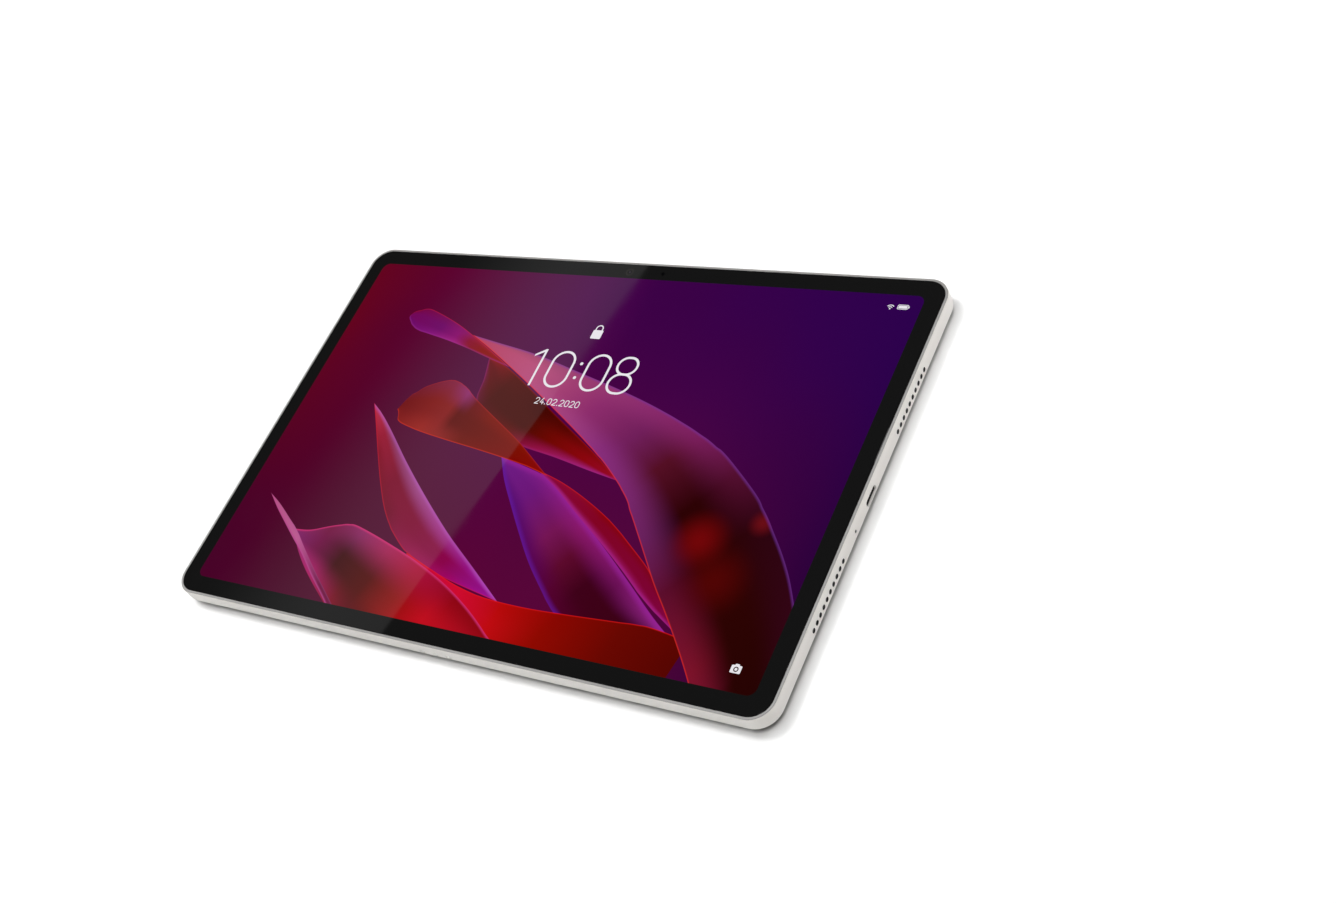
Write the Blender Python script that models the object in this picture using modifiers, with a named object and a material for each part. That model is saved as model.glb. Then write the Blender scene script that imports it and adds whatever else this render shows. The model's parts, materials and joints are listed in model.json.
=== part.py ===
"""A 12.7-inch tablet computer, lying on its back with the display facing up.

The origin is on the surface that the tablet lies on, under the middle of the body. +X is the short side
with the USB-C port, +Y is the long side by the front camera, and +Z is out of the display. Sizes and
places are in millimetres, and the helpers turn them into metres.
"""

import math

import bmesh
import bpy
from mathutils import Matrix, Vector

MM = 0.001
COLLECTION = "tablet_computer"

# The body
BODY_LENGTH = 290.9
BODY_WIDTH = 188.3
BODY_DEPTH = 8.0
CORNER = 9.6
BACK_ROUND = 2.0
LIP_CHAMFER = 0.2
WALL = 1.3
FLOOR_THICKNESS = 1.2
HALF_LENGTH = BODY_LENGTH / 2
HALF_WIDTH = BODY_WIDTH / 2

# Heights above the surface that the lens rings rest on
RING_HEIGHT = 2.0
BACK = RING_HEIGHT
FLOOR = BACK + FLOOR_THICKNESS
SHELF = BACK + 6.0
GLASS_TOP = BACK + BODY_DEPTH
LIP_TOP = GLASS_TOP - 0.28
BUTTON_LINE = GLASS_TOP - 4.4
PORT_LINE = GLASS_TOP - 4.95
CONTACT_LINE = GLASS_TOP - 5.0

# Clearances
THIN_GAP = 0.05
SEAM = 0.08
GAP = 0.1
END_FLAT = 0.25
BUTTON_SEAM = 0.15
PAST = 1.0

# How far in from the body's outline each layer of the display's border lies
FLANGE_INSET = 0.2
RECESS_INSET = 0.45
FRAME_INSET = 0.5
GLASS_INSET = 1.2
GASKET_INSETS = (1.5, 3.0)
OPENING_INSET = 3.2

# The display, from the front down
GLASS_THICKNESS = 0.7
GLASS_BOTTOM = GLASS_TOP - GLASS_THICKNESS
GLASS_CHAMFER = 0.2
GASKET_THICKNESS = 0.2
LEDGE_TOP = GLASS_BOTTOM - GASKET_THICKNESS - 2 * THIN_GAP
FLANGE_TOP = GLASS_TOP - 0.07
FLANGE_THICKNESS = 0.15
FLANGE_ROUND = 0.06
PANEL_LENGTH = 278.0
PANEL_SPAN_Y = (-89.5, 86.3)
PANEL_THICKNESS = 1.0
PANEL_CORNER = 3.5
BACKLIGHT_LENGTH = 277.2
BACKLIGHT_SPAN_Y = (-88.2, 86.0)
BACKLIGHT_THICKNESS = 1.35
FLEX_THICKNESS = 0.12

# The glossy band across the back, with the camera cover on it
BAND_HALF_LENGTH = 141.5
BAND_SPAN_Y = (51.1, 90.2)
BAND_THICKNESS = 0.7
BAND_CORNER = 5.2
COVER_CENTRE = (-97.5, 71.1)
COVER_LENGTH = 81.0
COVER_WIDTH = 30.8
COVER_BASE = 0.1
COVER_SLOPE = ((0.5, 0.08), (0.45, 0.19), (0.45, 0.19), (0.5, 0.09))
LENS_PITCH = 24.0
MAIN_LENS = (-97.4, 71.1)
MACRO_LENS = (MAIN_LENS[0] - LENS_PITCH, MAIN_LENS[1])
FLASH = (MAIN_LENS[0] + LENS_PITCH, MAIN_LENS[1])
GROOVE_RADII = (8.85, 9.2)
GROOVE_DEPTH = 0.12
RING_RADIUS = 9.5
RING_BORE = 8.98
BEZEL_RADIUS = 8.9
BEZEL_LOW = 0.15
WINDOW_RADIUS = 6.95
WINDOW_SPAN_Z = (0.95, 1.55)
FLASH_RADIUS = 2.75
RING_EDGE = 0.25
RING_CHAMFER = 0.2
BORE_CHAMFER = 0.1
BEZEL_LIP = 0.35
BAND_LENS_HOLE = 6.2
FLASH_SIDE = 1.45
FLASH_DOME = ((2.3, 1.33), (1.2, 1.27), (0.0, 1.25))
LED_SIZE = (3.2, 3.2, 0.7)
LED_RISE = 0.45
MAIN_BARREL_RADIUS = 3.5
MACRO_BARREL_RADIUS = 2.7
BARREL_CLEARANCE = 0.5
BARREL_SPAN_Z = (2.2, 5.2)
MAIN_MODULE_SIDE = 12.4
MACRO_MODULE_SIDE = 9.0
MAIN_MODULE_TOP = 6.5
MACRO_MODULE_TOP = 6.0
MAIN_BORE_DEPTH = 2.4
BARREL_DISH = ((1.9, 0.0), (1.5, 0.35), (0.0, 0.2))
SNOUT_ROOT = 0.5

# The speakers, two on each short side
SPEAKER_Y = 41.5
SPEAKER_HOLES = 10
HOLE_PITCH = 3.1
HOLE_RADIUS = 1.0
SPEAKER_BOX_X = (108.0, 143.5)
SPEAKER_BOX_WIDTH = 32.0
SPEAKER_BOX_TOP = 6.6
SPEAKER_BOX_CORNER = 1.5
DIAPHRAGM_X = 124.0
DIAPHRAGM_RADIUS = 10.0
DIAPHRAGM_SPAN_Z = (5.85, 6.15)
POCKET_CLEARANCE = 0.6
POCKET_FLOOR = 5.3
DUCT_WIDTH = 26.0
DUCT_SPAN_Z = (4.7, 6.0)
THINNED_WALL = 0.4
MESH_SIZE = (30.6, 2.5, 0.3)
MESH_CORNER = 1.0
CONE_FLAT = 0.55
CONE_STEP = (0.65, 0.12)

# The ports and keys
USB_OPENING = (8.6, 2.8)
USB_RIM = (9.0, 3.2, 0.24)
USB_SHELL = (9.0, 3.2)
USB_SHELL_X = (137.0, 144.05)
USB_SHELL_WALL = 0.25
USB_CORNER_STEPS = 6
TONGUE_SIZE = (6.7, 0.7)
TONGUE_X = (137.4, 143.2)
TONGUE_CHAMFER = 0.15
MICROPHONE_Y = -15.3
MICROPHONE_HOLE = 0.45
MICROPHONE_X = (140.4, 143.4)
MICROPHONE_SIZE = (4.0, 1.1)
MICROPHONE_POCKET = (1.8, 1.8)
POWER_Y = 70.4
POWER_LENGTH = 13.4
VOLUME_X = -118.0
VOLUME_LENGTH = 24.0
KEY_HEIGHT = 2.9
KEY_PROUD = 0.35
KEY_CHAMFER = 0.2
KEY_ROOT = 0.6
FLANGE_EXTRA = 2.0
KEY_FLANGE = (0.3, 0.85)
POST_OFFSET = 8.0
POST_RADIUS = 0.8
POST_END = 1.3
SWITCH_SIZE = (5.2, 2.8)
POWER_SWITCH_DEPTHS = (1.17, 2.7)
VOLUME_SWITCH_DEPTHS = (1.65, 2.85)
CONTACT_X = -1.2
CONTACT_PITCH = 6.6
CONTACT_RADIUS = 1.1
CONTACT_DEPTHS = (0.12, 4.3)
CONTACT_CHAMFER = 0.15
INSULATOR_SIZE = (22.0, 2.8)
INSULATOR_DEPTHS = (1.5, 3.6)
FRONT_CAMERA = (0.0, 88.8)
FRONT_LENS_RADIUS = 1.6
FRONT_LENS_LOW = 8.15
FRONT_LENS_DISH = ((0.0, 0.25), (0.55, 0.2), (0.8, 0.0))
FRONT_BODY = ((-2.4, 2.4), (86.9, 90.7), (5.4, 8.1))
LIGHT_SENSOR = ((15.45, 18.05), (87.9, 89.7), (8.3, 9.15))

# The boards, battery, antenna and magnet: the limits of X and Y, and heights where no other piece sets them
MAINBOARD_SPANS = ((-60.0, 60.0), (36.0, 85.0))
LOWER_BOARD_SPANS = ((-44.0, 44.0), (-88.0, -66.0))
LOWER_BOARD_LOW = 3.9
USB_BOARD_SPANS = ((116.0, 143.6), (-22.0, 22.0))
BOARD_CORNER = 1.0
PROCESSOR_SPANS = ((-22.0, -8.0), (55.0, 69.0))
PROCESSOR_HEIGHT = 0.9
CAN_SPANS = ((-30.0, 25.0), (46.0, 78.0))
CAN_HEIGHT = 1.5
CAN_WALL = 0.2
CELL_SPAN_X = (1.5, 104.0)
CELL_SPAN_Y = (-62.0, 30.0)
CELL_TOP = 6.3
CELL_CORNER = 2.5
CELL_CHAMFER = 0.5
BATTERY_BOARD = ((-20.0, 20.0), (30.6, 35.4), (3.9, 4.9))
ANTENNA = ((-60.0, -20.0), (87.2, 92.5), (3.4, 5.9))
MAGNET_SPANS = ((66.0, 106.0), (60.0, 68.0))
MAGNET_TOP = 5.3
SMALL_CORNER = 0.4

# The flex cables: a path of (Y, Z) points and the limits of X
DISPLAY_FLEX = ((-89.3, 8.13), (-88.6, 8.13), (-88.6, 6.6), (-72.0, 6.6), (-72.0, 4.85), (-69.0, 4.85))
DISPLAY_FLEX_X = (-30.0, 30.0)
MAIN_FLEX = ((-69.0, 4.85), (-64.2, 4.85), (-64.2, 6.45), (33.0, 6.45), (33.0, 4.95), (40.0, 4.95))
MAIN_FLEX_X = (32.0, 42.0)

# The mainboard's screws
SCREW_PLACES = (("left", (-54.0, 80.0)), ("right", (54.0, 80.0)))
BOSS_RADIUS = 2.5
BOSS_ROOT = 0.3
SHANK_RADIUS = 0.7
SCREW_HEAD = (1.5, 0.6)
SCREW_CHAMFER = 0.15
SCREW_DEPTH = 0.3
SCREW_POINT = 0.2
DRIVE = (0.7, 0.5)
DRIVE_SIDES = 6
BOARD_THICKNESS = 0.8
MAINBOARD_LOW = 4.0
USB_BOARD_LOW = 4.3

# Facets of round shapes
CORNER_STEPS = 12
INNER_STEPS = 3
ROUND_STEPS = 4
TURN_STEPS = 36
SMALL_STEPS = 20
HOLE_STEPS = 10
SMOOTH_ANGLE = math.radians(40)

# Colour, roughness and metallic value of each finish
FINISHES = {
    "shell_white": ((0.78, 0.76, 0.72), 0.35, 0.3),
    "gloss_white": ((0.80, 0.78, 0.74), 0.12, 0.0),
    "bright_metal": ((0.86, 0.86, 0.85), 0.2, 1.0),
    "frame_grey": ((0.33, 0.32, 0.31), 0.5, 0.0),
    "glass_black": ((0.01, 0.01, 0.012), 0.05, 0.0),
    "lens_black": ((0.008, 0.008, 0.01), 0.08, 0.0),
    "clear_lens": ((0.9, 0.9, 0.85), 0.1, 0.0),
    "phosphor": ((0.85, 0.75, 0.2), 0.5, 0.0),
    "panel_glass": ((0.05, 0.01, 0.06), 0.2, 0.0),
    "steel": ((0.55, 0.55, 0.56), 0.35, 1.0),
    "tinned_steel": ((0.68, 0.68, 0.66), 0.3, 1.0),
    "adhesive_black": ((0.02, 0.02, 0.02), 0.8, 0.0),
    "board_green": ((0.02, 0.12, 0.06), 0.5, 0.0),
    "chip_black": ((0.02, 0.02, 0.022), 0.4, 0.0),
    "cell_foil": ((0.10, 0.10, 0.11), 0.4, 0.5),
    "flex_amber": ((0.45, 0.20, 0.03), 0.35, 0.0),
    "plastic_black": ((0.02, 0.02, 0.02), 0.5, 0.0),
    "cone_grey": ((0.12, 0.12, 0.13), 0.6, 0.0),
    "magnet_nickel": ((0.6, 0.6, 0.58), 0.25, 1.0),
}

# Which way a shape drawn along Z is turned: its Z goes to the named side, its X stays level
TURNS = {
    "Z": Matrix.Identity(3),
    "X": Matrix(((0, 0, 1), (1, 0, 0), (0, 1, 0))),
    "-X": Matrix(((0, 0, -1), (-1, 0, 0), (0, 1, 0))),
    "Y": Matrix(((-1, 0, 0), (0, 0, 1), (0, 1, 0))),
    "-Y": Matrix(((1, 0, 0), (0, 0, -1), (0, 1, 0))),
}


def clear_scene():
    for thing in list(bpy.data.objects):
        bpy.data.objects.remove(thing, do_unlink=True)


def new_collection(name):
    collection = bpy.data.collections.new(name)
    bpy.context.scene.collection.children.link(collection)
    return collection


def material(name, finish):
    """A Principled material of one of the finishes, for one object."""
    colour, roughness, metallic = FINISHES[finish]
    made = bpy.data.materials.new(f"{name}_{finish}")
    made.use_nodes = True
    shader = made.node_tree.nodes["Principled BSDF"]
    shader.inputs["Base Color"].default_value = (*colour, 1.0)
    shader.inputs["Roughness"].default_value = roughness
    shader.inputs["Metallic"].default_value = metallic
    made.diffuse_color = (*colour, 1.0)
    return made


def add_object(name, shape, place, turn="Z"):
    """Makes an object of a shape drawn in millimetres round its own origin."""
    shape.transform(Matrix.Scale(MM, 4))
    mesh = bpy.data.meshes.new(name)
    shape.to_mesh(mesh)
    shape.free()
    thing = bpy.data.objects.new(name, mesh)
    thing.location = Vector(place) * MM
    thing.rotation_euler = TURNS[turn].to_euler()
    bpy.data.collections[COLLECTION].objects.link(thing)
    return thing


def piece(thing, finish, smooth=True):
    """Finishes an object that is one of the tablet's pieces."""
    thing.data.materials.append(material(thing.name, finish))
    if smooth:
        thing.data.shade_smooth()
        thing.data.set_sharp_from_angle(angle=SMOOTH_ANGLE)
    thing.parent = bpy.data.objects["tablet_origin"]
    return thing


def make_tool(thing):
    """Moves an object that cuts or joins another into the cutters' collection."""
    bpy.data.collections[COLLECTION].objects.unlink(thing)
    bpy.data.collections["cutters"].objects.link(thing)
    thing.hide_render = True
    thing.display_type = "WIRE"


def combine(target, tool, operation):
    modifier = target.modifiers.new(tool.name, "BOOLEAN")
    modifier.operation = operation
    modifier.solver = "EXACT"
    modifier.object = tool
    make_tool(tool)


def cut(target, tool):
    combine(target, tool, "DIFFERENCE")


def join(target, tool):
    combine(target, tool, "UNION")


def bevel(shape, edges, width, steps):
    bmesh.ops.bevel(
        shape, geom=edges, offset=width, offset_type="OFFSET", segments=steps, profile=0.5,
        affect="EDGES", clamp_overlap=True,
    )


def level_edges(shape, height):
    return [edge for edge in shape.edges if all(abs(end.co.z - height) < GAP / 10 for end in edge.verts)]


def slab_shape(length, width, height, corner=0.0, corner_steps=CORNER_STEPS, low_round=0.0, high_chamfer=0.0):
    """A plate with rounded upright corners, a rounded low edge and a chamfered high edge."""
    shape = bmesh.new()
    bmesh.ops.create_cube(shape, size=1.0)
    bmesh.ops.scale(shape, vec=(length, width, height), verts=shape.verts)
    if corner:
        upright = [edge for edge in shape.edges if abs(edge.verts[0].co.z - edge.verts[1].co.z) > height / 2]
        bevel(shape, upright, min(corner, min(length, width) / 2 - END_FLAT), corner_steps)
    if low_round:
        bevel(shape, level_edges(shape, -height / 2), low_round, ROUND_STEPS)
    if high_chamfer:
        bevel(shape, level_edges(shape, height / 2), high_chamfer, 1)
    return shape


def slab(name, size, centre, turn="Z", **edges):
    return add_object(name, slab_shape(*size, **edges), centre, turn)


def layer(name, inset, low, high, **edges):
    """A plate with the body's outline, moved in by an inset."""
    size = (BODY_LENGTH - 2 * inset, BODY_WIDTH - 2 * inset, high - low)
    return slab(name, size, (0, 0, (low + high) / 2), corner=CORNER - inset, **edges)


def block(name, span_x, span_y, span_z, corner_steps=INNER_STEPS, **edges):
    """A plate between three pairs of limits."""
    spans = (span_x, span_y, span_z)
    size = [high - low for low, high in spans]
    centre = [(low + high) / 2 for low, high in spans]
    return slab(name, size, centre, corner_steps=corner_steps, **edges)


def rods(name, radius, length, centres, turn="Z", steps=SMALL_STEPS):
    """Round rods of one size, in one object, at places given about the first of them."""
    shape = bmesh.new()
    first = Vector(centres[0])
    back = TURNS[turn].inverted()
    for centre in centres:
        bmesh.ops.create_cone(
            shape, cap_ends=True, segments=steps, radius1=radius, radius2=radius, depth=length,
            matrix=Matrix.Translation(back @ (Vector(centre) - first)),
        )
    return add_object(name, shape, first, turn)


def turned(name, profile, place, steps=TURN_STEPS, turn="Z"):
    """A profile of (radius, height) points that runs down its outer side, turned round its own Z."""
    shape = bmesh.new()
    points = [shape.verts.new((radius, 0.0, height)) for radius, height in profile]
    for first, second in zip(points, points[1:]):
        shape.edges.new((first, second))
    if profile[0][0] > 0:
        shape.edges.new((points[-1], points[0]))
    thing = add_object(name, shape, place, turn)
    screw = thing.modifiers.new("turn", "SCREW")
    screw.axis = "Z"
    screw.steps = steps
    screw.render_steps = steps
    screw.use_merge_vertices = True
    screw.merge_threshold = MM / 1000
    return thing


def ribbon(name, path, span_x):
    """A flex cable: a path of (Y, Z) points, as wide as a span of X."""
    shape = bmesh.new()
    sides = [[shape.verts.new((x, y, z)) for y, z in path] for x in span_x]
    for index in range(len(path) - 1):
        shape.faces.new((sides[0][index], sides[1][index], sides[1][index + 1], sides[0][index + 1]))
    thing = add_object(name, shape, (0, 0, 0))
    shell = thing.modifiers.new("thickness", "SOLIDIFY")
    shell.thickness = FLEX_THICKNESS * MM
    shell.offset = 0.0
    shell.use_even_offset = True
    return thing


# The shell


def speaker_hole_centres():
    reach = HOLE_PITCH * (SPEAKER_HOLES - 1) / 2
    centres = []
    for side in (1, -1):
        for index in range(SPEAKER_HOLES):
            centres.append((0.0, side * SPEAKER_Y + index * HOLE_PITCH - reach, BUTTON_LINE))
    return centres


def contact_centres(depth):
    return [
        (CONTACT_X + index * CONTACT_PITCH, depth - HALF_WIDTH, CONTACT_LINE) for index in (-1, 0, 1)
    ]


def cut_side_openings(shell):
    """Opens the side walls for the speakers, the port, the microphone, the contacts and the keys."""
    through = BODY_LENGTH + 2 * PAST
    wall_cut = WALL + 2 * PAST
    cut(shell, rods("speaker_hole_cutter", HOLE_RADIUS, through, speaker_hole_centres(), "X", HOLE_STEPS))
    port = (HALF_LENGTH, 0, PORT_LINE)
    cut(shell, slab("usb_cutter", (*USB_OPENING, wall_cut), port, "X", corner=USB_OPENING[1]))
    cut(shell, slab("usb_rim_cutter", USB_RIM, port, "X", corner=USB_RIM[1]))
    microphone = [(HALF_LENGTH, MICROPHONE_Y, BUTTON_LINE)]
    cut(shell, rods("microphone_cutter", MICROPHONE_HOLE, wall_cut, microphone, "X", HOLE_STEPS))
    contact_hole = CONTACT_RADIUS + BUTTON_SEAM
    cut(shell, rods("contact_cutter", contact_hole, wall_cut, contact_centres(0.0), "-Y", SMALL_STEPS))
    slot_height = KEY_HEIGHT + 2 * BUTTON_SEAM
    for name, length, place, turn in (
        ("power", POWER_LENGTH, (-HALF_LENGTH, POWER_Y, BUTTON_LINE), "-X"),
        ("volume", VOLUME_LENGTH, (VOLUME_X, HALF_WIDTH, BUTTON_LINE), "Y"),
    ):
        slot = (length + 2 * BUTTON_SEAM, slot_height, wall_cut)
        cut(shell, slab(f"{name}_cutter", slot, place, turn, corner=KEY_HEIGHT))


def thin_walls(shell):
    """Thins the side walls from inside, behind the speaker and microphone holes."""
    pockets = [(side, row * SPEAKER_Y, MESH_SIZE[:2]) for side in (1, -1) for row in (1, -1)]
    for index, (side, y, (length, width)) in enumerate([*pockets, (1, MICROPHONE_Y, MICROPHONE_POCKET)]):
        depth = WALL - THINNED_WALL + PAST
        size = (length + 2 * GAP, width + 2 * GAP, depth)
        place = (side * (HALF_LENGTH - THINNED_WALL - depth / 2), y, BUTTON_LINE)
        pocket = slab(f"mesh_pocket_{index}", size, place, "X", corner=MESH_CORNER, corner_steps=INNER_STEPS)
        cut(shell, pocket)


def rear_housing():
    shell = layer("rear_housing", 0.0, BACK, LIP_TOP, low_round=BACK_ROUND, high_chamfer=LIP_CHAMFER)
    cut(shell, layer("cavity_cutter", WALL, FLOOR, GLASS_TOP + PAST))
    cut(shell, layer("recess_cutter", RECESS_INSET, SHELF, GLASS_TOP + PAST))
    half = BAND_HALF_LENGTH + SEAM
    span_y = (BAND_SPAN_Y[0] - SEAM, BAND_SPAN_Y[1] + SEAM)
    pocket = (BACK - PAST, BACK + BAND_THICKNESS + THIN_GAP)
    cutter = block("band_cutter", (-half, half), span_y, pocket, CORNER_STEPS, corner=BAND_CORNER + SEAM)
    cut(shell, cutter)
    for name, place, radius in (
        ("main", MAIN_LENS, MAIN_BARREL_RADIUS + BARREL_CLEARANCE),
        ("macro", MACRO_LENS, MACRO_BARREL_RADIUS + BARREL_CLEARANCE),
        ("flash", FLASH, FLASH_RADIUS - BARREL_CLEARANCE),
    ):
        cut(shell, rods(f"{name}_hole_cutter", radius, FLOOR_THICKNESS * 3, [(*place, FLOOR)]))
    cut_side_openings(shell)
    thin_walls(shell)
    for name, place in SCREW_PLACES:
        low = FLOOR - BOSS_ROOT
        high = MAINBOARD_LOW - THIN_GAP
        join(shell, rods(f"{name}_boss", BOSS_RADIUS, high - low, [(*place, (low + high) / 2)]))
        hole_low = FLOOR + GAP
        hole = [(*place, (hole_low + high + PAST) / 2)]
        cut(shell, rods(f"{name}_boss_cutter", SHANK_RADIUS + THIN_GAP, high + PAST - hole_low, hole))
    return piece(shell, "shell_white")


def top_band():
    half = BAND_HALF_LENGTH
    span_z = (BACK, BACK + BAND_THICKNESS)
    band = block("top_band", (-half, half), BAND_SPAN_Y, span_z, CORNER_STEPS, corner=BAND_CORNER)
    through = BAND_THICKNESS * 4
    cut(band, rods("band_lens_cutter", BAND_LENS_HOLE, through, [(*MAIN_LENS, BACK), (*MACRO_LENS, BACK)]))
    cut(band, rods("band_flash_cutter", FLASH_RADIUS + SEAM, through, [(*FLASH, BACK)]))
    return piece(band, "gloss_white")


def camera_cover():
    """The raised pill round the lenses: a thin base whose outer face rises in soft steps."""
    shape = slab_shape(COVER_LENGTH, COVER_WIDTH, COVER_BASE, corner=COVER_WIDTH)
    shape.faces.ensure_lookup_table()
    outer = min(shape.faces, key=lambda face: face.calc_center_median().z)
    for width, rise in COVER_SLOPE:
        bmesh.ops.inset_region(
            shape, faces=[outer], thickness=width, depth=rise, use_even_offset=True, use_boundary=True
        )
    high = BACK - THIN_GAP
    cover = add_object("camera_cover", shape, (*COVER_CENTRE, high - COVER_BASE / 2))
    face = high - COVER_BASE - sum(rise for _, rise in COVER_SLOPE)
    lenses = [(*MAIN_LENS, face), (*MACRO_LENS, face)]
    through = RING_HEIGHT + PAST
    cut(cover, rods("ring_cutter", RING_RADIUS + SEAM, through, lenses, "Z", TURN_STEPS))
    cut(cover, rods("flash_cutter", FLASH_RADIUS + SEAM, through, [(*FLASH, face)]))
    inner, outer_radius = GROOVE_RADII
    groove = ((outer_radius, GROOVE_DEPTH), (outer_radius, -PAST), (inner, -PAST), (inner, GROOVE_DEPTH))
    cut(cover, turned("groove_cutter", groove, (*FLASH, face)))
    return piece(cover, "gloss_white")


def lens_pieces(kind, place):
    """The metal ring, the black funnel inside it and the window, of one rear camera."""
    top = BACK - THIN_GAP
    ring = (
        (RING_RADIUS, top), (RING_RADIUS, RING_EDGE), (RING_RADIUS - RING_CHAMFER, 0.0),
        (RING_BORE + BORE_CHAMFER, 0.0), (RING_BORE, BORE_CHAMFER), (RING_BORE, top),
    )
    piece(turned(f"lens_ring_{kind}", ring, (*place, 0.0)), "bright_metal")
    bore = WINDOW_RADIUS + THIN_GAP
    ledge = WINDOW_SPAN_Z[1] + THIN_GAP
    funnel = (
        (BEZEL_RADIUS, top), (BEZEL_RADIUS, BEZEL_LOW), (BEZEL_RADIUS - BEZEL_LIP, BEZEL_LOW),
        (bore, WINDOW_SPAN_Z[0]), (bore, ledge), (BAND_LENS_HOLE, ledge), (BAND_LENS_HOLE, top),
    )
    piece(turned(f"lens_bezel_{kind}", funnel, (*place, 0.0)), "lens_black")
    low, high = WINDOW_SPAN_Z
    window = (
        (0.0, high), (WINDOW_RADIUS, high), (WINDOW_RADIUS, low + GAP), (WINDOW_RADIUS - GAP, low),
        (0.0, low),
    )
    piece(turned(f"lens_window_{kind}", window, (*place, 0.0)), "lens_black")


def flash_pieces():
    high = BACK + BAND_THICKNESS
    dome = ((0.0, high), (FLASH_RADIUS, high), (FLASH_RADIUS, FLASH_SIDE), *FLASH_DOME)
    piece(turned("flash_lens", dome, (*FLASH, 0.0), SMALL_STEPS), "clear_lens")
    place = (*FLASH, FLOOR + LED_RISE)
    piece(slab("flash_led", LED_SIZE, place, corner=SMALL_CORNER, corner_steps=INNER_STEPS), "phosphor")


# The display


def cover_glass():
    glass = layer("cover_glass", GLASS_INSET, GLASS_BOTTOM, GLASS_TOP, high_chamfer=GLASS_CHAMFER)
    return piece(glass, "glass_black")


def mid_frame():
    """The plastic frame that the glass sits in, with a thin flange over the shell's lip."""
    frame = layer("mid_frame", FRAME_INSET, SHELF + THIN_GAP, FLANGE_TOP - FLANGE_THICKNESS / 2)
    flange_low = FLANGE_TOP - FLANGE_THICKNESS
    join(frame, layer("frame_flange", FLANGE_INSET, flange_low, FLANGE_TOP, high_chamfer=FLANGE_ROUND))
    cut(frame, layer("glass_cutter", GLASS_INSET - THIN_GAP, LEDGE_TOP, GLASS_TOP + PAST))
    cut(frame, layer("opening_cutter", OPENING_INSET, SHELF - PAST, GLASS_TOP + PAST))
    return piece(frame, "frame_grey")


def display_gasket():
    outer, inner = GASKET_INSETS
    low = LEDGE_TOP + THIN_GAP
    gasket = layer("display_gasket", outer, low, low + GASKET_THICKNESS)
    cut(gasket, layer("gasket_cutter", inner, low - PAST, low + PAST))
    return piece(gasket, "adhesive_black")


def display_stack():
    half = PANEL_LENGTH / 2
    high = GLASS_BOTTOM - THIN_GAP
    low = high - PANEL_THICKNESS
    panel = block("lcd_panel", (-half, half), PANEL_SPAN_Y, (low, high), corner=PANEL_CORNER)
    piece(panel, "panel_glass")
    half = BACKLIGHT_LENGTH / 2
    high = low - THIN_GAP
    span_z = (high - BACKLIGHT_THICKNESS, high)
    light = block("backlight_unit", (-half, half), BACKLIGHT_SPAN_Y, span_z, corner=PANEL_CORNER)
    piece(light, "steel")


def flex_cables():
    piece(ribbon("display_flex", DISPLAY_FLEX, DISPLAY_FLEX_X), "flex_amber", smooth=False)
    piece(ribbon("main_flex", MAIN_FLEX, MAIN_FLEX_X), "flex_amber", smooth=False)


# The boards and the battery


def boards():
    high = MAINBOARD_LOW + BOARD_THICKNESS
    mainboard = block("mainboard", *MAINBOARD_SPANS, (MAINBOARD_LOW, high), corner=BOARD_CORNER)
    places = [(*place, high) for _, place in SCREW_PLACES]
    cut(mainboard, rods("screw_hole_cutter", SHANK_RADIUS + GAP * 2, BOARD_THICKNESS * 4, places))
    piece(mainboard, "board_green")
    span_z = (LOWER_BOARD_LOW, LOWER_BOARD_LOW + BOARD_THICKNESS)
    lower = block("lower_board", *LOWER_BOARD_SPANS, span_z, corner=BOARD_CORNER)
    piece(lower, "board_green")
    usb_high = USB_BOARD_LOW + BOARD_THICKNESS
    usb = block("usb_board", *USB_BOARD_SPANS, (USB_BOARD_LOW, usb_high), corner=BOARD_CORNER)
    notch = (USB_SHELL[0] / 2 + GAP) * 2
    low_x = USB_SHELL_X[0] - 2 * GAP
    cut(usb, block("notch_cutter", (low_x, HALF_LENGTH), (-notch / 2, notch / 2), (FLOOR, SHELF)))
    piece(usb, "board_green")


def board_screws():
    shank_low = FLOOR + SCREW_DEPTH
    head_low = MAINBOARD_LOW + BOARD_THICKNESS + THIN_GAP
    head_radius, head_height = SCREW_HEAD
    head_high = head_low + head_height
    profile = (
        (0.0, head_high), (head_radius - SCREW_CHAMFER, head_high),
        (head_radius, head_high - SCREW_CHAMFER), (head_radius, head_low), (SHANK_RADIUS, head_low),
        (SHANK_RADIUS, shank_low + SCREW_POINT), (SHANK_RADIUS - SCREW_POINT, shank_low), (0.0, shank_low),
    )
    for name, place in SCREW_PLACES:
        screw = turned(f"mainboard_screw_{name}", profile, (*place, 0.0), HOLE_STEPS)
        drive = [(*place, head_high)]
        cut(screw, rods(f"{name}_drive_cutter", *DRIVE, drive, "Z", DRIVE_SIDES))
        piece(screw, "steel")


def chips():
    top = MAINBOARD_LOW + BOARD_THICKNESS + THIN_GAP
    processor = block("processor", *PROCESSOR_SPANS, (top, top + PROCESSOR_HEIGHT), corner=SMALL_CORNER)
    piece(processor, "chip_black")
    can = block("shield_can", *CAN_SPANS, (top, top + CAN_HEIGHT), corner=BOARD_CORNER)
    inner_x, inner_y = ((low + CAN_WALL, high - CAN_WALL) for low, high in CAN_SPANS)
    inner_z = (top - PAST, top + CAN_HEIGHT - CAN_WALL)
    cut(can, block("can_cutter", inner_x, inner_y, inner_z, corner=BOARD_CORNER - CAN_WALL))
    piece(can, "tinned_steel")


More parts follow.
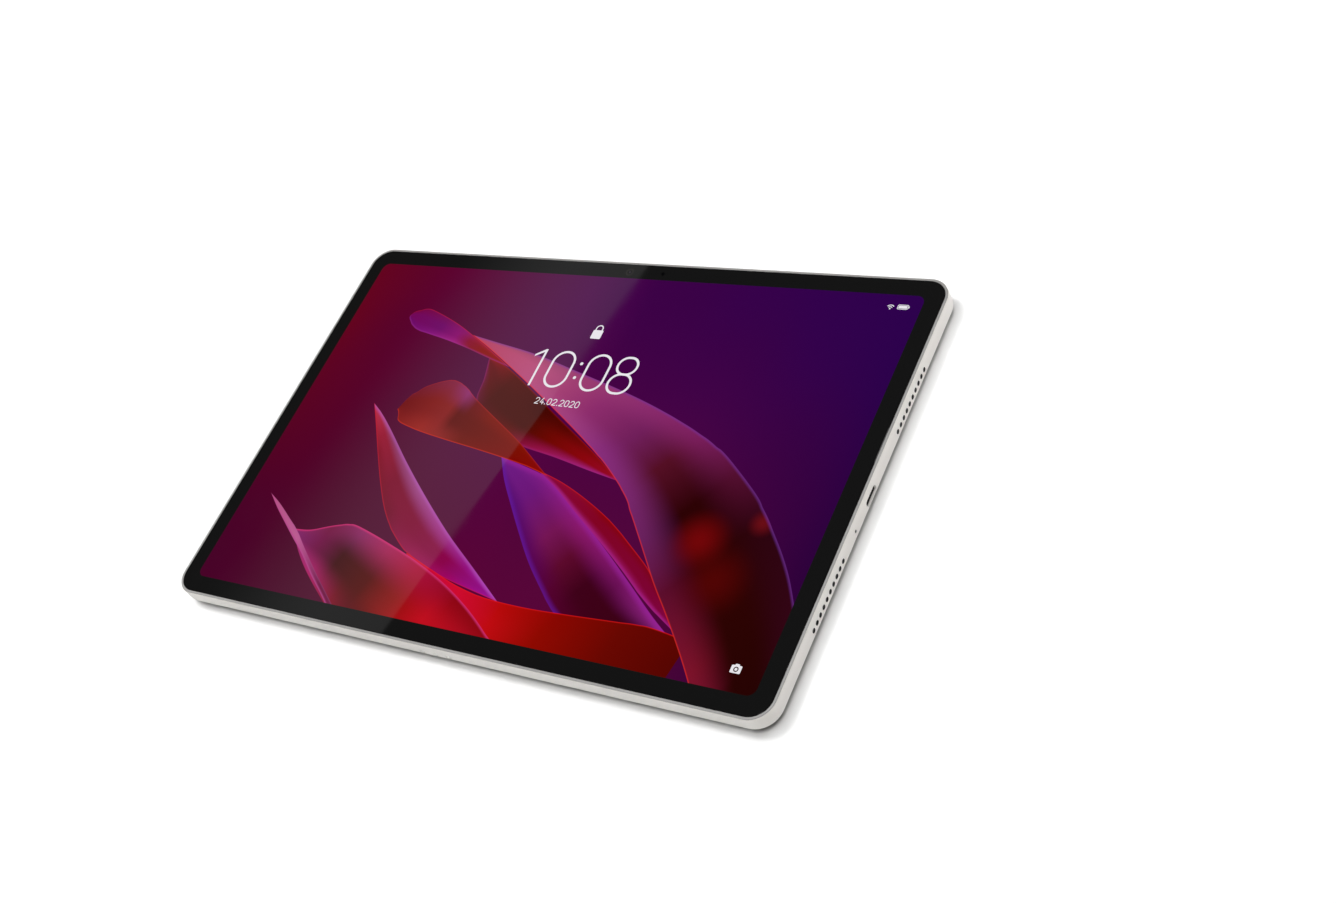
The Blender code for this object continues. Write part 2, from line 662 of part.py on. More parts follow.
def battery():
    for name, side in (("left", -1), ("right", 1)):
        span_x = sorted(side * x for x in CELL_SPAN_X)
        cell = block(
            f"battery_cell_{name}", span_x, CELL_SPAN_Y, (FLOOR + GAP, CELL_TOP),
            corner=CELL_CORNER, high_chamfer=CELL_CHAMFER,
        )
        piece(cell, "cell_foil")
    piece(block("battery_board", *BATTERY_BOARD, corner=SMALL_CORNER), "board_green")


# The speakers


def speaker(name, side_x, side_y):
    centre_y = side_y * SPEAKER_Y
    span_x = sorted(side_x * x for x in SPEAKER_BOX_X)
    span_y = (centre_y - SPEAKER_BOX_WIDTH / 2, centre_y + SPEAKER_BOX_WIDTH / 2)
    span_z = (FLOOR + GAP, SPEAKER_BOX_TOP)
    box = block(f"speaker_box_{name}", span_x, span_y, span_z, corner=SPEAKER_BOX_CORNER)
    place = (side_x * DIAPHRAGM_X, centre_y)
    depth = SPEAKER_BOX_TOP - POCKET_FLOOR + PAST
    pocket = [(*place, POCKET_FLOOR + depth / 2)]
    cut(box, rods(f"{name}_pocket_cutter", DIAPHRAGM_RADIUS + POCKET_CLEARANCE, depth, pocket))
    duct_x = sorted((side_x * DIAPHRAGM_X, side_x * (SPEAKER_BOX_X[1] + PAST)))
    duct_y = (centre_y - DUCT_WIDTH / 2, centre_y + DUCT_WIDTH / 2)
    cut(box, block(f"{name}_duct_cutter", duct_x, duct_y, DUCT_SPAN_Z))
    piece(box, "plastic_black")
    middle = sum(DIAPHRAGM_SPAN_Z) / 2
    low, high = (limit - middle for limit in DIAPHRAGM_SPAN_Z)
    step, drop = CONE_STEP
    cone = (
        (0.0, high), (DIAPHRAGM_RADIUS * CONE_FLAT, high), (DIAPHRAGM_RADIUS * step, high - drop),
        (DIAPHRAGM_RADIUS, high - drop), (DIAPHRAGM_RADIUS, low), (0.0, low),
    )
    piece(turned(f"speaker_diaphragm_{name}", cone, (*place, middle), SMALL_STEPS), "cone_grey")
    mesh_x = side_x * (HALF_LENGTH - THINNED_WALL - THIN_GAP - MESH_SIZE[2] / 2)
    mesh_place = (mesh_x, centre_y, BUTTON_LINE)
    shape = {"corner": MESH_CORNER, "corner_steps": INNER_STEPS}
    grille = slab(f"speaker_mesh_{name}", MESH_SIZE, mesh_place, "X", **shape)
    piece(grille, "steel")


# The ports and keys


def usb_port():
    length = USB_SHELL_X[1] - USB_SHELL_X[0]
    centre = (sum(USB_SHELL_X) / 2, 0.0, PORT_LINE)
    edges = {"corner": USB_SHELL[1], "corner_steps": USB_CORNER_STEPS}
    shell = slab("usb_c_shell", (*USB_SHELL, length), centre, "X", **edges)
    inside = [size - 2 * USB_SHELL_WALL for size in USB_SHELL]
    inner_centre = (centre[0] + USB_SHELL_WALL, 0.0, PORT_LINE)
    cut(shell, slab("usb_shell_cutter", (*inside, length), inner_centre, "X", **edges))
    piece(shell, "steel")
    tongue_length = TONGUE_X[1] - TONGUE_X[0]
    tongue_centre = (sum(TONGUE_X) / 2, 0.0, PORT_LINE)
    tongue_size = (*TONGUE_SIZE, tongue_length)
    tongue = slab("usb_c_tongue", tongue_size, tongue_centre, "X", high_chamfer=TONGUE_CHAMFER)
    piece(tongue, "plastic_black")


def microphone():
    width, height = MICROPHONE_SIZE
    span_y = (MICROPHONE_Y - width / 2, MICROPHONE_Y + width / 2)
    low = USB_BOARD_LOW + BOARD_THICKNESS + THIN_GAP
    piece(block("microphone", MICROPHONE_X, span_y, (low, low + height), corner=SMALL_CORNER), "tinned_steel")


def key(name, length, origin, turn):
    """A key's cap, proud of the side wall, on a wider flange that keeps it in its slot."""
    cap_depth = WALL + KEY_PROUD + KEY_ROOT
    edges = {"corner": KEY_HEIGHT, "high_chamfer": KEY_CHAMFER}
    cap = slab(name, (length, KEY_HEIGHT, cap_depth), origin, turn, **edges)
    outward = TURNS[turn] @ Vector((0, 0, 1))
    flange_depth = KEY_FLANGE[1] - KEY_FLANGE[0]
    flange_middle = KEY_PROUD - cap_depth / 2 + WALL + (KEY_FLANGE[0] + KEY_FLANGE[1]) / 2
    place = Vector(origin) - outward * flange_middle
    size = (length + FLANGE_EXTRA, KEY_HEIGHT + FLANGE_EXTRA / 2, flange_depth)
    join(cap, slab(f"{name}_flange", size, place, turn, corner=KEY_HEIGHT, corner_steps=INNER_STEPS))
    return cap


def switch(name, depth, place, turn):
    """The small switch that a key presses."""
    body = slab(name, (*SWITCH_SIZE, depth), place, turn, corner=SMALL_CORNER, corner_steps=INNER_STEPS)
    piece(body, "plastic_black")


def key_origin(half):
    """How far out the middle of a key's cap lies, on the side whose half size is given."""
    return half + KEY_PROUD - (WALL + KEY_PROUD + KEY_ROOT) / 2


def power_key():
    cap = key("power_button", POWER_LENGTH, (-key_origin(HALF_LENGTH), POWER_Y, BUTTON_LINE), "-X")
    piece(cap, "shell_white")
    near, far = (HALF_LENGTH - WALL - depth for depth in POWER_SWITCH_DEPTHS)
    place = (-(near + far) / 2, POWER_Y, BUTTON_LINE)
    switch("power_switch", near - far, place, "-X")


def volume_keys():
    """One rocker on two switches: it tilts about an upright axis through its middle."""
    rocker = key("volume_rocker", VOLUME_LENGTH, (VOLUME_X, key_origin(HALF_WIDTH), BUTTON_LINE), "Y")
    near = HALF_WIDTH - WALL - KEY_FLANGE[1] + GAP
    far = HALF_WIDTH - WALL - POST_END
    posts = [(VOLUME_X + side * POST_OFFSET, (near + far) / 2, BUTTON_LINE) for side in (-1, 1)]
    join(rocker, rods("rocker_posts", POST_RADIUS, near - far, posts, "Y", HOLE_STEPS))
    piece(rocker, "shell_white")
    near, far = (HALF_WIDTH - WALL - depth for depth in VOLUME_SWITCH_DEPTHS)
    for name, side in (("up", 1), ("down", -1)):
        place = (VOLUME_X + side * POST_OFFSET, (near + far) / 2, BUTTON_LINE)
        switch(f"volume_switch_{name}", near - far, place, "Y")


def keyboard_contacts():
    near, far = CONTACT_DEPTHS
    length = far - near
    for name, centre in zip(("left", "middle", "right"), contact_centres((near + far) / 2)):
        profile = (
            (0.0, length / 2), (CONTACT_RADIUS - CONTACT_CHAMFER, length / 2),
            (CONTACT_RADIUS, length / 2 - CONTACT_CHAMFER), (CONTACT_RADIUS, -length / 2), (0.0, -length / 2),
        )
        piece(turned(f"pogo_contact_{name}", profile, centre, SMALL_STEPS, "-Y"), "bright_metal")
    near, far = INSULATOR_DEPTHS
    place = (CONTACT_X, (near + far) / 2 - HALF_WIDTH, CONTACT_LINE)
    size = (*INSULATOR_SIZE, far - near)
    body = slab("pogo_insulator", size, place, "-Y", corner=SMALL_CORNER, corner_steps=INNER_STEPS)
    through = 4 * (far - near)
    cut(body, rods("insulator_cutter", CONTACT_RADIUS + GAP, through, contact_centres(far), "-Y", HOLE_STEPS))
    piece(body, "plastic_black")


# The cameras and sensors


def rear_cameras():
    low = FLOOR + GAP
    half = MAIN_MODULE_SIDE / 2
    x, y = MAIN_LENS
    spans = ((x - half, x + half), (y - half, y + half), (low, MAIN_MODULE_TOP))
    module = block("camera_body_main", *spans, corner=SMALL_CORNER)
    bore = [(x, y, low)]
    cut(module, rods("barrel_cutter", MAIN_BARREL_RADIUS + 2 * GAP, 2 * MAIN_BORE_DEPTH, bore))
    piece(module, "tinned_steel")
    barrel_low, barrel_high = BARREL_SPAN_Z
    radius = MAIN_BARREL_RADIUS
    dish = [(dish_radius, barrel_low + depth) for dish_radius, depth in BARREL_DISH]
    barrel = ((0.0, barrel_high), (radius, barrel_high), (radius, barrel_low), *dish)
    piece(turned("camera_barrel_main", barrel, (x, y, 0.0), SMALL_STEPS), "lens_black")
    x, y = MACRO_LENS
    half = MACRO_MODULE_SIDE / 2
    spans = ((x - half, x + half), (y - half, y + half), (low, MACRO_MODULE_TOP))
    module = block("camera_body_macro", *spans, corner=SMALL_CORNER)
    length = low - barrel_low + SNOUT_ROOT
    snout = [(x, y, barrel_low + length / 2)]
    join(module, rods("macro_barrel", MACRO_BARREL_RADIUS, length, snout))
    piece(module, "plastic_black")


def front_camera():
    piece(block("front_camera_body", *FRONT_BODY, corner=SMALL_CORNER), "plastic_black")
    high = GLASS_BOTTOM - GAP
    dish = [(radius, high - depth) for radius, depth in FRONT_LENS_DISH]
    lens = (*dish, (FRONT_LENS_RADIUS, high), (FRONT_LENS_RADIUS, FRONT_LENS_LOW), (0.0, FRONT_LENS_LOW))
    piece(turned("front_camera_lens", lens, (*FRONT_CAMERA, 0.0), SMALL_STEPS), "lens_black")
    piece(block("light_sensor", *LIGHT_SENSOR, corner=SMALL_CORNER / 2), "chip_black")


def antenna_and_magnet():
    piece(block("wifi_antenna", *ANTENNA, corner=SMALL_CORNER), "plastic_black")
    magnet = block("stylus_magnet", *MAGNET_SPANS, (FLOOR + GAP, MAGNET_TOP), corner=SMALL_CORNER)
    piece(magnet, "magnet_nickel")


def main():
    clear_scene()
    new_collection(COLLECTION)
    new_collection("cutters")
    origin = bpy.data.objects.new("tablet_origin", None)
    bpy.data.collections[COLLECTION].objects.link(origin)
    rear_housing()
    top_band()
    camera_cover()
    lens_pieces("main", MAIN_LENS)
    lens_pieces("macro", MACRO_LENS)
    flash_pieces()
    cover_glass()
    mid_frame()
    display_gasket()
    display_stack()
    flex_cables()
    boards()
    board_screws()
    chips()
    battery()
    for name, side_x, side_y in (
        ("left_top", -1, 1), ("left_bottom", -1, -1), ("right_top", 1, 1), ("right_bottom", 1, -1),
    ):
        speaker(name, side_x, side_y)
    usb_port()
    microphone()
    power_key()
    volume_keys()
    keyboard_contacts()
    rear_cameras()
    front_camera()
    antenna_and_magnet()


main()
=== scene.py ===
"""Looks of the tablet computer: its finishes, the lit screen, small fittings, the camera, floor and lights.

Lengths in the tables are in millimetres, colours are 0 to 255 as seen on a screen.
"""

import json
import math

import bmesh
import bpy
from mathutils import Matrix, Vector


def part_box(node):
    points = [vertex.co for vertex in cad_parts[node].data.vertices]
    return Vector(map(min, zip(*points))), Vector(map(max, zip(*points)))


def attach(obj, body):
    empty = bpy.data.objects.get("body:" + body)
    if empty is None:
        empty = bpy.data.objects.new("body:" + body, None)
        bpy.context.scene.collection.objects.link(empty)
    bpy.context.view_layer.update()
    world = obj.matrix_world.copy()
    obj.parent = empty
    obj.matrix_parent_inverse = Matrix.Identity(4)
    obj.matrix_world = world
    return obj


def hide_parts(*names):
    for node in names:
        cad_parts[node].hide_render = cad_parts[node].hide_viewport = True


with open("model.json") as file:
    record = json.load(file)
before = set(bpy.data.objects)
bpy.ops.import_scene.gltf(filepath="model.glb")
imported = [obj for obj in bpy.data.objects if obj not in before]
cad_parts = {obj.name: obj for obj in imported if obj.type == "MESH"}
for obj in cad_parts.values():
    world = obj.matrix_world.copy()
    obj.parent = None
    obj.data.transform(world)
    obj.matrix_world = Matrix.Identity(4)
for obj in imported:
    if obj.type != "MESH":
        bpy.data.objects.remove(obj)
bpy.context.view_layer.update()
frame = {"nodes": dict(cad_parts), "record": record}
MM = 0.001


def middle(node):
    """Where the middle of a CAD node is, in millimetres."""
    low, high = (Vector(corner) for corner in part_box(node))
    return (low + high) / 2 / MM


def middle_reach(node):
    """How far a CAD node reaches from its middle, in millimetres."""
    low, high = (Vector(corner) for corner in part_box(node))
    return (high - low) / 2 / MM


GLASS_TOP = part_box("cover_glass")[1][2] / MM


# Node helpers


def srgb(red, green, blue):
    """A screen colour as the linear colour that shaders take."""
    linear = []
    for level in (red, green, blue):
        level /= 255
        linear.append(level / 12.92 if level <= 0.04045 else ((level + 0.055) / 1.055) ** 2.4)
    return (*linear, 1.0)


class Graph:
    """A material and short names for the nodes that it is built from."""

    def __init__(self, name):
        self.material = bpy.data.materials.new(name)
        self.material.use_nodes = True
        self.tree = self.material.node_tree
        self.shader = self.tree.nodes["Principled BSDF"]
        self.place = self.tree.nodes.new("ShaderNodeTexCoord").outputs["Object"]

    def put(self, socket, value):
        if isinstance(value, bpy.types.NodeSocket):
            self.tree.links.new(value, socket)
        else:
            socket.default_value = value

    def node(self, kind, inputs=(), **settings):
        made = self.tree.nodes.new("ShaderNode" + kind)
        for name, value in settings.items():
            setattr(made, name, value)
        for name, value in dict(inputs).items():
            self.put(made.inputs[name], value)
        return made

    def set(self, **inputs):
        for name, value in inputs.items():
            self.put(self.shader.inputs[name.replace("_", " ")], value)

    def maths(self, operation, *values):
        return self.node("Math", dict(enumerate(values)), operation=operation).outputs[0]

    def product(self, first, *others):
        for other in others:
            first = self.maths("MULTIPLY", first, other)
        return first

    def highest(self, first, *others):
        for other in others:
            first = self.maths("MAXIMUM", first, other)
        return first

    def under(self, value, limit):
        return self.maths("LESS_THAN", value, limit)

    def over(self, value, limit):
        return self.maths("GREATER_THAN", value, limit)

    def gap(self, value, place):
        """How far a value is from a place, either way."""
        return self.maths("ABSOLUTE", self.maths("SUBTRACT", value, place))

    def vector(self, operation, *values):
        made = self.node("VectorMath", operation=operation)
        for socket, value in zip(made.inputs, values):
            self.put(socket, value)
        return made.outputs["Value" if operation == "LENGTH" else "Vector"]

    def away(self, x, y, spot):
        """The distance from a spot, seen along Z."""
        sides = (self.maths("SUBTRACT", value, place) for value, place in ((x, spot.x), (y, spot.y)))
        return self.vector("LENGTH", self.join(*sides))

    def past_corner(self, flat, half, corner):
        """How far a place is past the inner rectangle that joins the middles of the round corners."""
        beyond = self.vector("SUBTRACT", self.vector("ABSOLUTE", flat), half - Vector((corner, corner, 0)))
        return self.vector("LENGTH", self.vector("MAXIMUM", beyond, (0, 0, 0)))

    def scaled(self, vector, by):
        made = self.node("VectorMath", {"Vector": vector, "Scale": by}, operation="SCALE")
        return made.outputs["Vector"]

    def split(self, vector):
        return self.node("SeparateXYZ", {"Vector": vector}).outputs

    def join(self, x, y, z=0.0):
        return self.node("CombineXYZ", {"X": x, "Y": y, "Z": z}).outputs[0]

    def mapped(self, value, low, high, to_low=0.0, to_high=1.0, smooth=False):
        """A value's place between two limits, held at them."""
        style = "SMOOTHSTEP" if smooth else "LINEAR"
        inputs = {"Value": value, "From Min": low, "From Max": high, "To Min": to_low, "To Max": to_high}
        return self.node("MapRange", inputs, interpolation_type=style).outputs["Result"]

    def mix(self, share, first, second, style="MIX"):
        made = self.node("Mix", data_type="RGBA", blend_type=style)
        for index, value in ((0, share), (6, first), (7, second)):
            self.put(made.inputs[index], value)
        return made.outputs[2]

    def ramp(self, value, stops):
        made = self.node("ValToRGB", {"Fac": value})
        elements = made.color_ramp.elements
        while len(elements) < len(stops):
            elements.new(0.5)
        for element, (place, colour) in zip(elements, stops):
            element.position = place
            element.color = srgb(*colour)
        return made.outputs["Color"]

    def curve(self, value, points):
        """A curve through close points of (place from 0 to 1, value)."""
        made = self.node("FloatCurve", {"Value": value})
        made.mapping.use_clip = False
        line = made.mapping.curves[0]
        while len(line.points) < len(points):
            line.points.new(0.5, 0.5)
        for point, (place, height) in zip(line.points, points):
            point.location = (place, height)
        made.mapping.update()
        return made.outputs[0]

    def noise(self, size, stretch=(1.0, 1.0, 1.0), detail=2.0, vector=None):
        """Soft random spots, about as wide as a size in millimetres."""
        source = self.place if vector is None else vector
        moved = self.node("Mapping", {"Vector": source, "Scale": stretch}).outputs[0]
        inputs = {"Vector": moved, "Scale": 1 / (size * MM), "Detail": detail}
        return self.node("TexNoise", inputs).outputs["Fac"]

    def bump(self, height, depth):
        """Relief of a height map from 0 to 1, as deep as a depth in millimetres."""
        made = self.node("Bump", {"Height": height, "Distance": depth * MM, "Strength": 1.0})
        self.put(self.shader.inputs["Normal"], made.outputs[0])


# Finishes


def finish(name, tones, tone_size, rough, grain, metallic=0.0, stretch=(1.0, 1.0, 1.0), coat=0.0):
    """A material with drifting tones, uneven gloss and a fine grain of (size, depth)."""
    graph = Graph(name)
    drift = graph.noise(tone_size, stretch, 3.0)
    count = len(tones) - 1
    stops = [(0.3 + 0.4 * index / count, tone) for index, tone in enumerate(tones)]
    speck_size, depth = grain
    speck = graph.noise(speck_size, stretch, 2.0)
    low, high = rough
    graph.set(
        Base_Color=graph.ramp(drift, stops), Roughness=graph.mapped(speck, 0.3, 0.7, low, high),
        Metallic=metallic, Coat_Weight=coat, IOR=1.5,
    )
    graph.bump(speck, depth)
    return graph


def plain(name, *arguments, **settings):
    return finish(name, *arguments, **settings).material


# How far the shell's painted shade and painted highlight reach from the middles of its openings, and how deep
# they start
ROW_REACH = 15.2
HOLE_REACH = 1.0
HOLE_DEPTH = 0.03
CAPSULE_REACH = 0.6
CAPSULE_SHADE_RADIUS = 0.62
PORT_MARGIN = 0.15
PORT_HIGHLIGHT_DEPTH = 0.08
PORT_SHADE_DEPTH = 0.95


def shell_finish():
    """Satin, bead-blasted and anodised metal, with painted shade in its small holes and a painted highlight on
    the port's inner wall.
    """
    graph = Graph("satin_shell")
    unshaded_tone = graph.ramp(graph.noise(60.0, detail=3.0), ((0.3, (233, 229, 223)), (0.7, (237, 234, 229))))
    row, capsule, port = middle("speaker_mesh_right_top"), middle("microphone"), middle("usb_c_shell")
    port_half, outer = middle_reach("usb_c_shell"), middle_reach("rear_housing").x
    x, y, z = graph.split(graph.scaled(graph.place, 1 / MM))

    # Masks for the painted shade in the speaker holes and the microphone hole
    from_row = graph.gap(graph.maths("ABSOLUTE", y), row.y)
    from_capsule = graph.gap(y, capsule.y)
    along = graph.highest(graph.under(from_row, ROW_REACH), graph.under(from_capsule, CAPSULE_REACH))
    across = graph.under(graph.gap(z, row.z), HOLE_REACH)
    deep = graph.under(graph.maths("ABSOLUTE", x), outer - HOLE_DEPTH)
    from_hole = graph.vector("LENGTH", graph.join(from_capsule, graph.maths("SUBTRACT", z, capsule.z)))
    # Painted shade on the microphone hole's wall
    rim = graph.product(graph.under(from_hole, CAPSULE_SHADE_RADIUS), graph.over(x, capsule.x))

    beside_port = graph.under(graph.gap(y, port.y), port_half.y)
    level_with_port = graph.under(graph.gap(z, port.z), port_half.z - PORT_MARGIN)
    at_port = graph.product(beside_port, level_with_port, graph.over(x, 0.0))
    depth = graph.maths("SUBTRACT", outer, x)
    port_painted_highlight = graph.product(at_port, graph.over(depth, PORT_HIGHLIGHT_DEPTH))
    port_painted_shade = graph.product(at_port, graph.over(depth, PORT_SHADE_DEPTH))

    # Painted highlight: the port's inner wall is lightened to near white, as if lit
    tone = graph.mix(port_painted_highlight, unshaded_tone, srgb(253, 251, 247))
    # Painted shade: the speaker holes, the microphone hole and the depths of the port are darkened to near
    # black
    tone = graph.mix(graph.highest(graph.product(along, across, deep), rim, port_painted_shade), tone, srgb(40, 38, 36))
    speck = graph.noise(0.16)
    graph.set(Base_Color=tone, Roughness=graph.mapped(speck, 0.3, 0.7, 0.33, 0.42))
    graph.bump(speck, 0.0012)
    return graph.material


def gloss_finish(name, tones):
    """A hard, glossy white surface with a very slight ripple."""
    graph = finish(name, tones, 45.0, (0.10, 0.14), grain=(2.5, 0.0006), coat=0.6)
    graph.set(Coat_Roughness=0.04)
    return graph.material


def ring_finish():
    """Polished metal with the faint rings that a lathe leaves."""
    graph = Graph("turned_ring")
    x, y, z = graph.split(graph.place)
    rings = None
    for kind in ("main", "macro"):
        away = graph.away(x, y, middle(f"lens_ring_{kind}") * MM)
        rings = away if rings is None else graph.maths("MINIMUM", rings, away)
    lines = graph.noise(0.03, vector=graph.join(rings, z))
    graph.set(
        Base_Color=graph.ramp(lines, ((0.3, (214, 213, 210)), (0.7, (236, 235, 233)))), Metallic=1.0,
        Roughness=graph.mapped(lines, 0.3, 0.7, 0.12, 0.24),
    )
    graph.bump(lines, 0.0015)
    return graph.material


WIRE_PITCH = 0.28


def mesh_finish():
    """Woven wire, black, with holes finer than the openings in front of it."""
    graph = Graph("woven_mesh")
    _, y, z = graph.split(graph.scaled(graph.place, math.pi / (WIRE_PITCH * MM)))
    weave = graph.maths("MULTIPLY", graph.maths("SINE", y), graph.maths("SINE", z))
    shine = graph.mapped(graph.maths("ABSOLUTE", weave), 0.0, 0.6)
    graph.set(
        Base_Color=graph.ramp(shine, ((0.0, (34, 33, 32)), (1.0, (8, 8, 8)))), Metallic=0.2,
        Roughness=graph.mapped(shine, 0.0, 1.0, 0.35, 0.7),
    )
    graph.bump(graph.maths("SUBTRACT", 1.0, shine), 0.05)
    return graph.material


def board_finish():
    """Green solder mask over copper traces, with gold pads."""
    graph = Graph("solder_mask")
    spot = graph.scaled(graph.place, 1000.0)
    layout = {"Vector": spot, "Scale": 0.42, "Mortar Size": 0.03, "Mortar Smooth": 0.3}
    traces = graph.node("TexBrick", layout)
    pads = graph.node("TexVoronoi", {"Vector": spot, "Scale": 0.55}, distance="CHEBYCHEV").outputs["Distance"]
    pad = graph.mapped(pads, 0.16, 0.13)
    mask = graph.ramp(traces.outputs["Fac"], ((0.0, (14, 84, 50)), (1.0, (34, 126, 78))))
    graph.set(
        Base_Color=graph.mix(pad, mask, srgb(205, 168, 92)), Metallic=pad,
        Roughness=graph.mapped(graph.noise(0.6), 0.3, 0.7, 0.25, 0.4),
    )
    graph.bump(graph.maths("MAXIMUM", traces.outputs["Fac"], pad), 0.02)
    return graph.material


def foil_finish():
    """The battery's laminated foil, with soft wrinkles."""
    graph = Graph("battery_foil")
    wrinkle = graph.noise(9.0, (1.0, 0.35, 1.0), 4.0)
    graph.set(
        Base_Color=graph.ramp(wrinkle, ((0.3, (44, 44, 47)), (0.7, (66, 66, 70)))), Metallic=0.35,
        Roughness=graph.mapped(graph.noise(0.5), 0.3, 0.7, 0.3, 0.42),
    )
    graph.bump(wrinkle, 0.15)
    return graph.material


def flex_finish():
    """Amber film with copper lines along it."""
    graph = Graph("amber_flex")
    x = graph.split(graph.place)[0]
    lines = graph.maths("SINE", graph.maths("MULTIPLY", x, 2 * math.pi / (0.5 * MM)))
    line = graph.mapped(lines, 0.1, 0.3)
    graph.set(
        Base_Color=graph.ramp(line, ((0.0, (150, 88, 26)), (1.0, (196, 128, 48)))),
        Roughness=graph.mapped(graph.noise(1.0), 0.3, 0.7, 0.28, 0.4),
    )
    graph.bump(line, 0.01)
    return graph.material


def flash_finish():
    """A clear lens with fine rings over a silver cup and a warm lamp."""
    graph = Graph("flash_lens_rings")
    x, y, _ = graph.split(graph.place)
    away = graph.maths("DIVIDE", graph.away(x, y, middle("flash_lens") * MM), MM)
    rings = graph.maths("FRACT", graph.maths("MULTIPLY", away, 4.0))
    stops = (
        (0.0, (252, 250, 240)), (0.35, (244, 242, 234)), (0.55, (196, 195, 190)),
        (0.85, (150, 149, 147)), (1.0, (206, 205, 202)),
    )
    colour = graph.ramp(graph.mapped(away, 0.0, middle_reach("flash_lens").x), stops)
    silver = graph.mapped(away, 1.2, 2.0, 0.0, 0.75)
    graph.set(Base_Color=colour, Metallic=silver, Roughness=0.16, Coat_Weight=0.8, Coat_Roughness=0.05)
    graph.bump(rings, 0.02)
    return graph.material


# The lit screen: a ground of drifting colour and soft ribbons laid over it

LIT_HALF = Vector((136.8, 85.5, 0.0))
LIT_CORNER = 3.5
LIT_BLUR = 0.08
GROUND_TOP = (
    (0.0, (104, 2, 26)), (0.1, (94, 2, 40)), (0.26, (88, 0, 58)),
    (0.45, (80, 0, 78)), (0.56, (60, 0, 72)), (1.0, (44, 0, 78)),
)
GROUND_LOW = (
    (0.0, (72, 1, 38)), (0.2, (76, 0, 42)), (0.5, (90, 4, 54)), (0.75, (88, 6, 58)), (1.0, (46, 0, 54)),
)

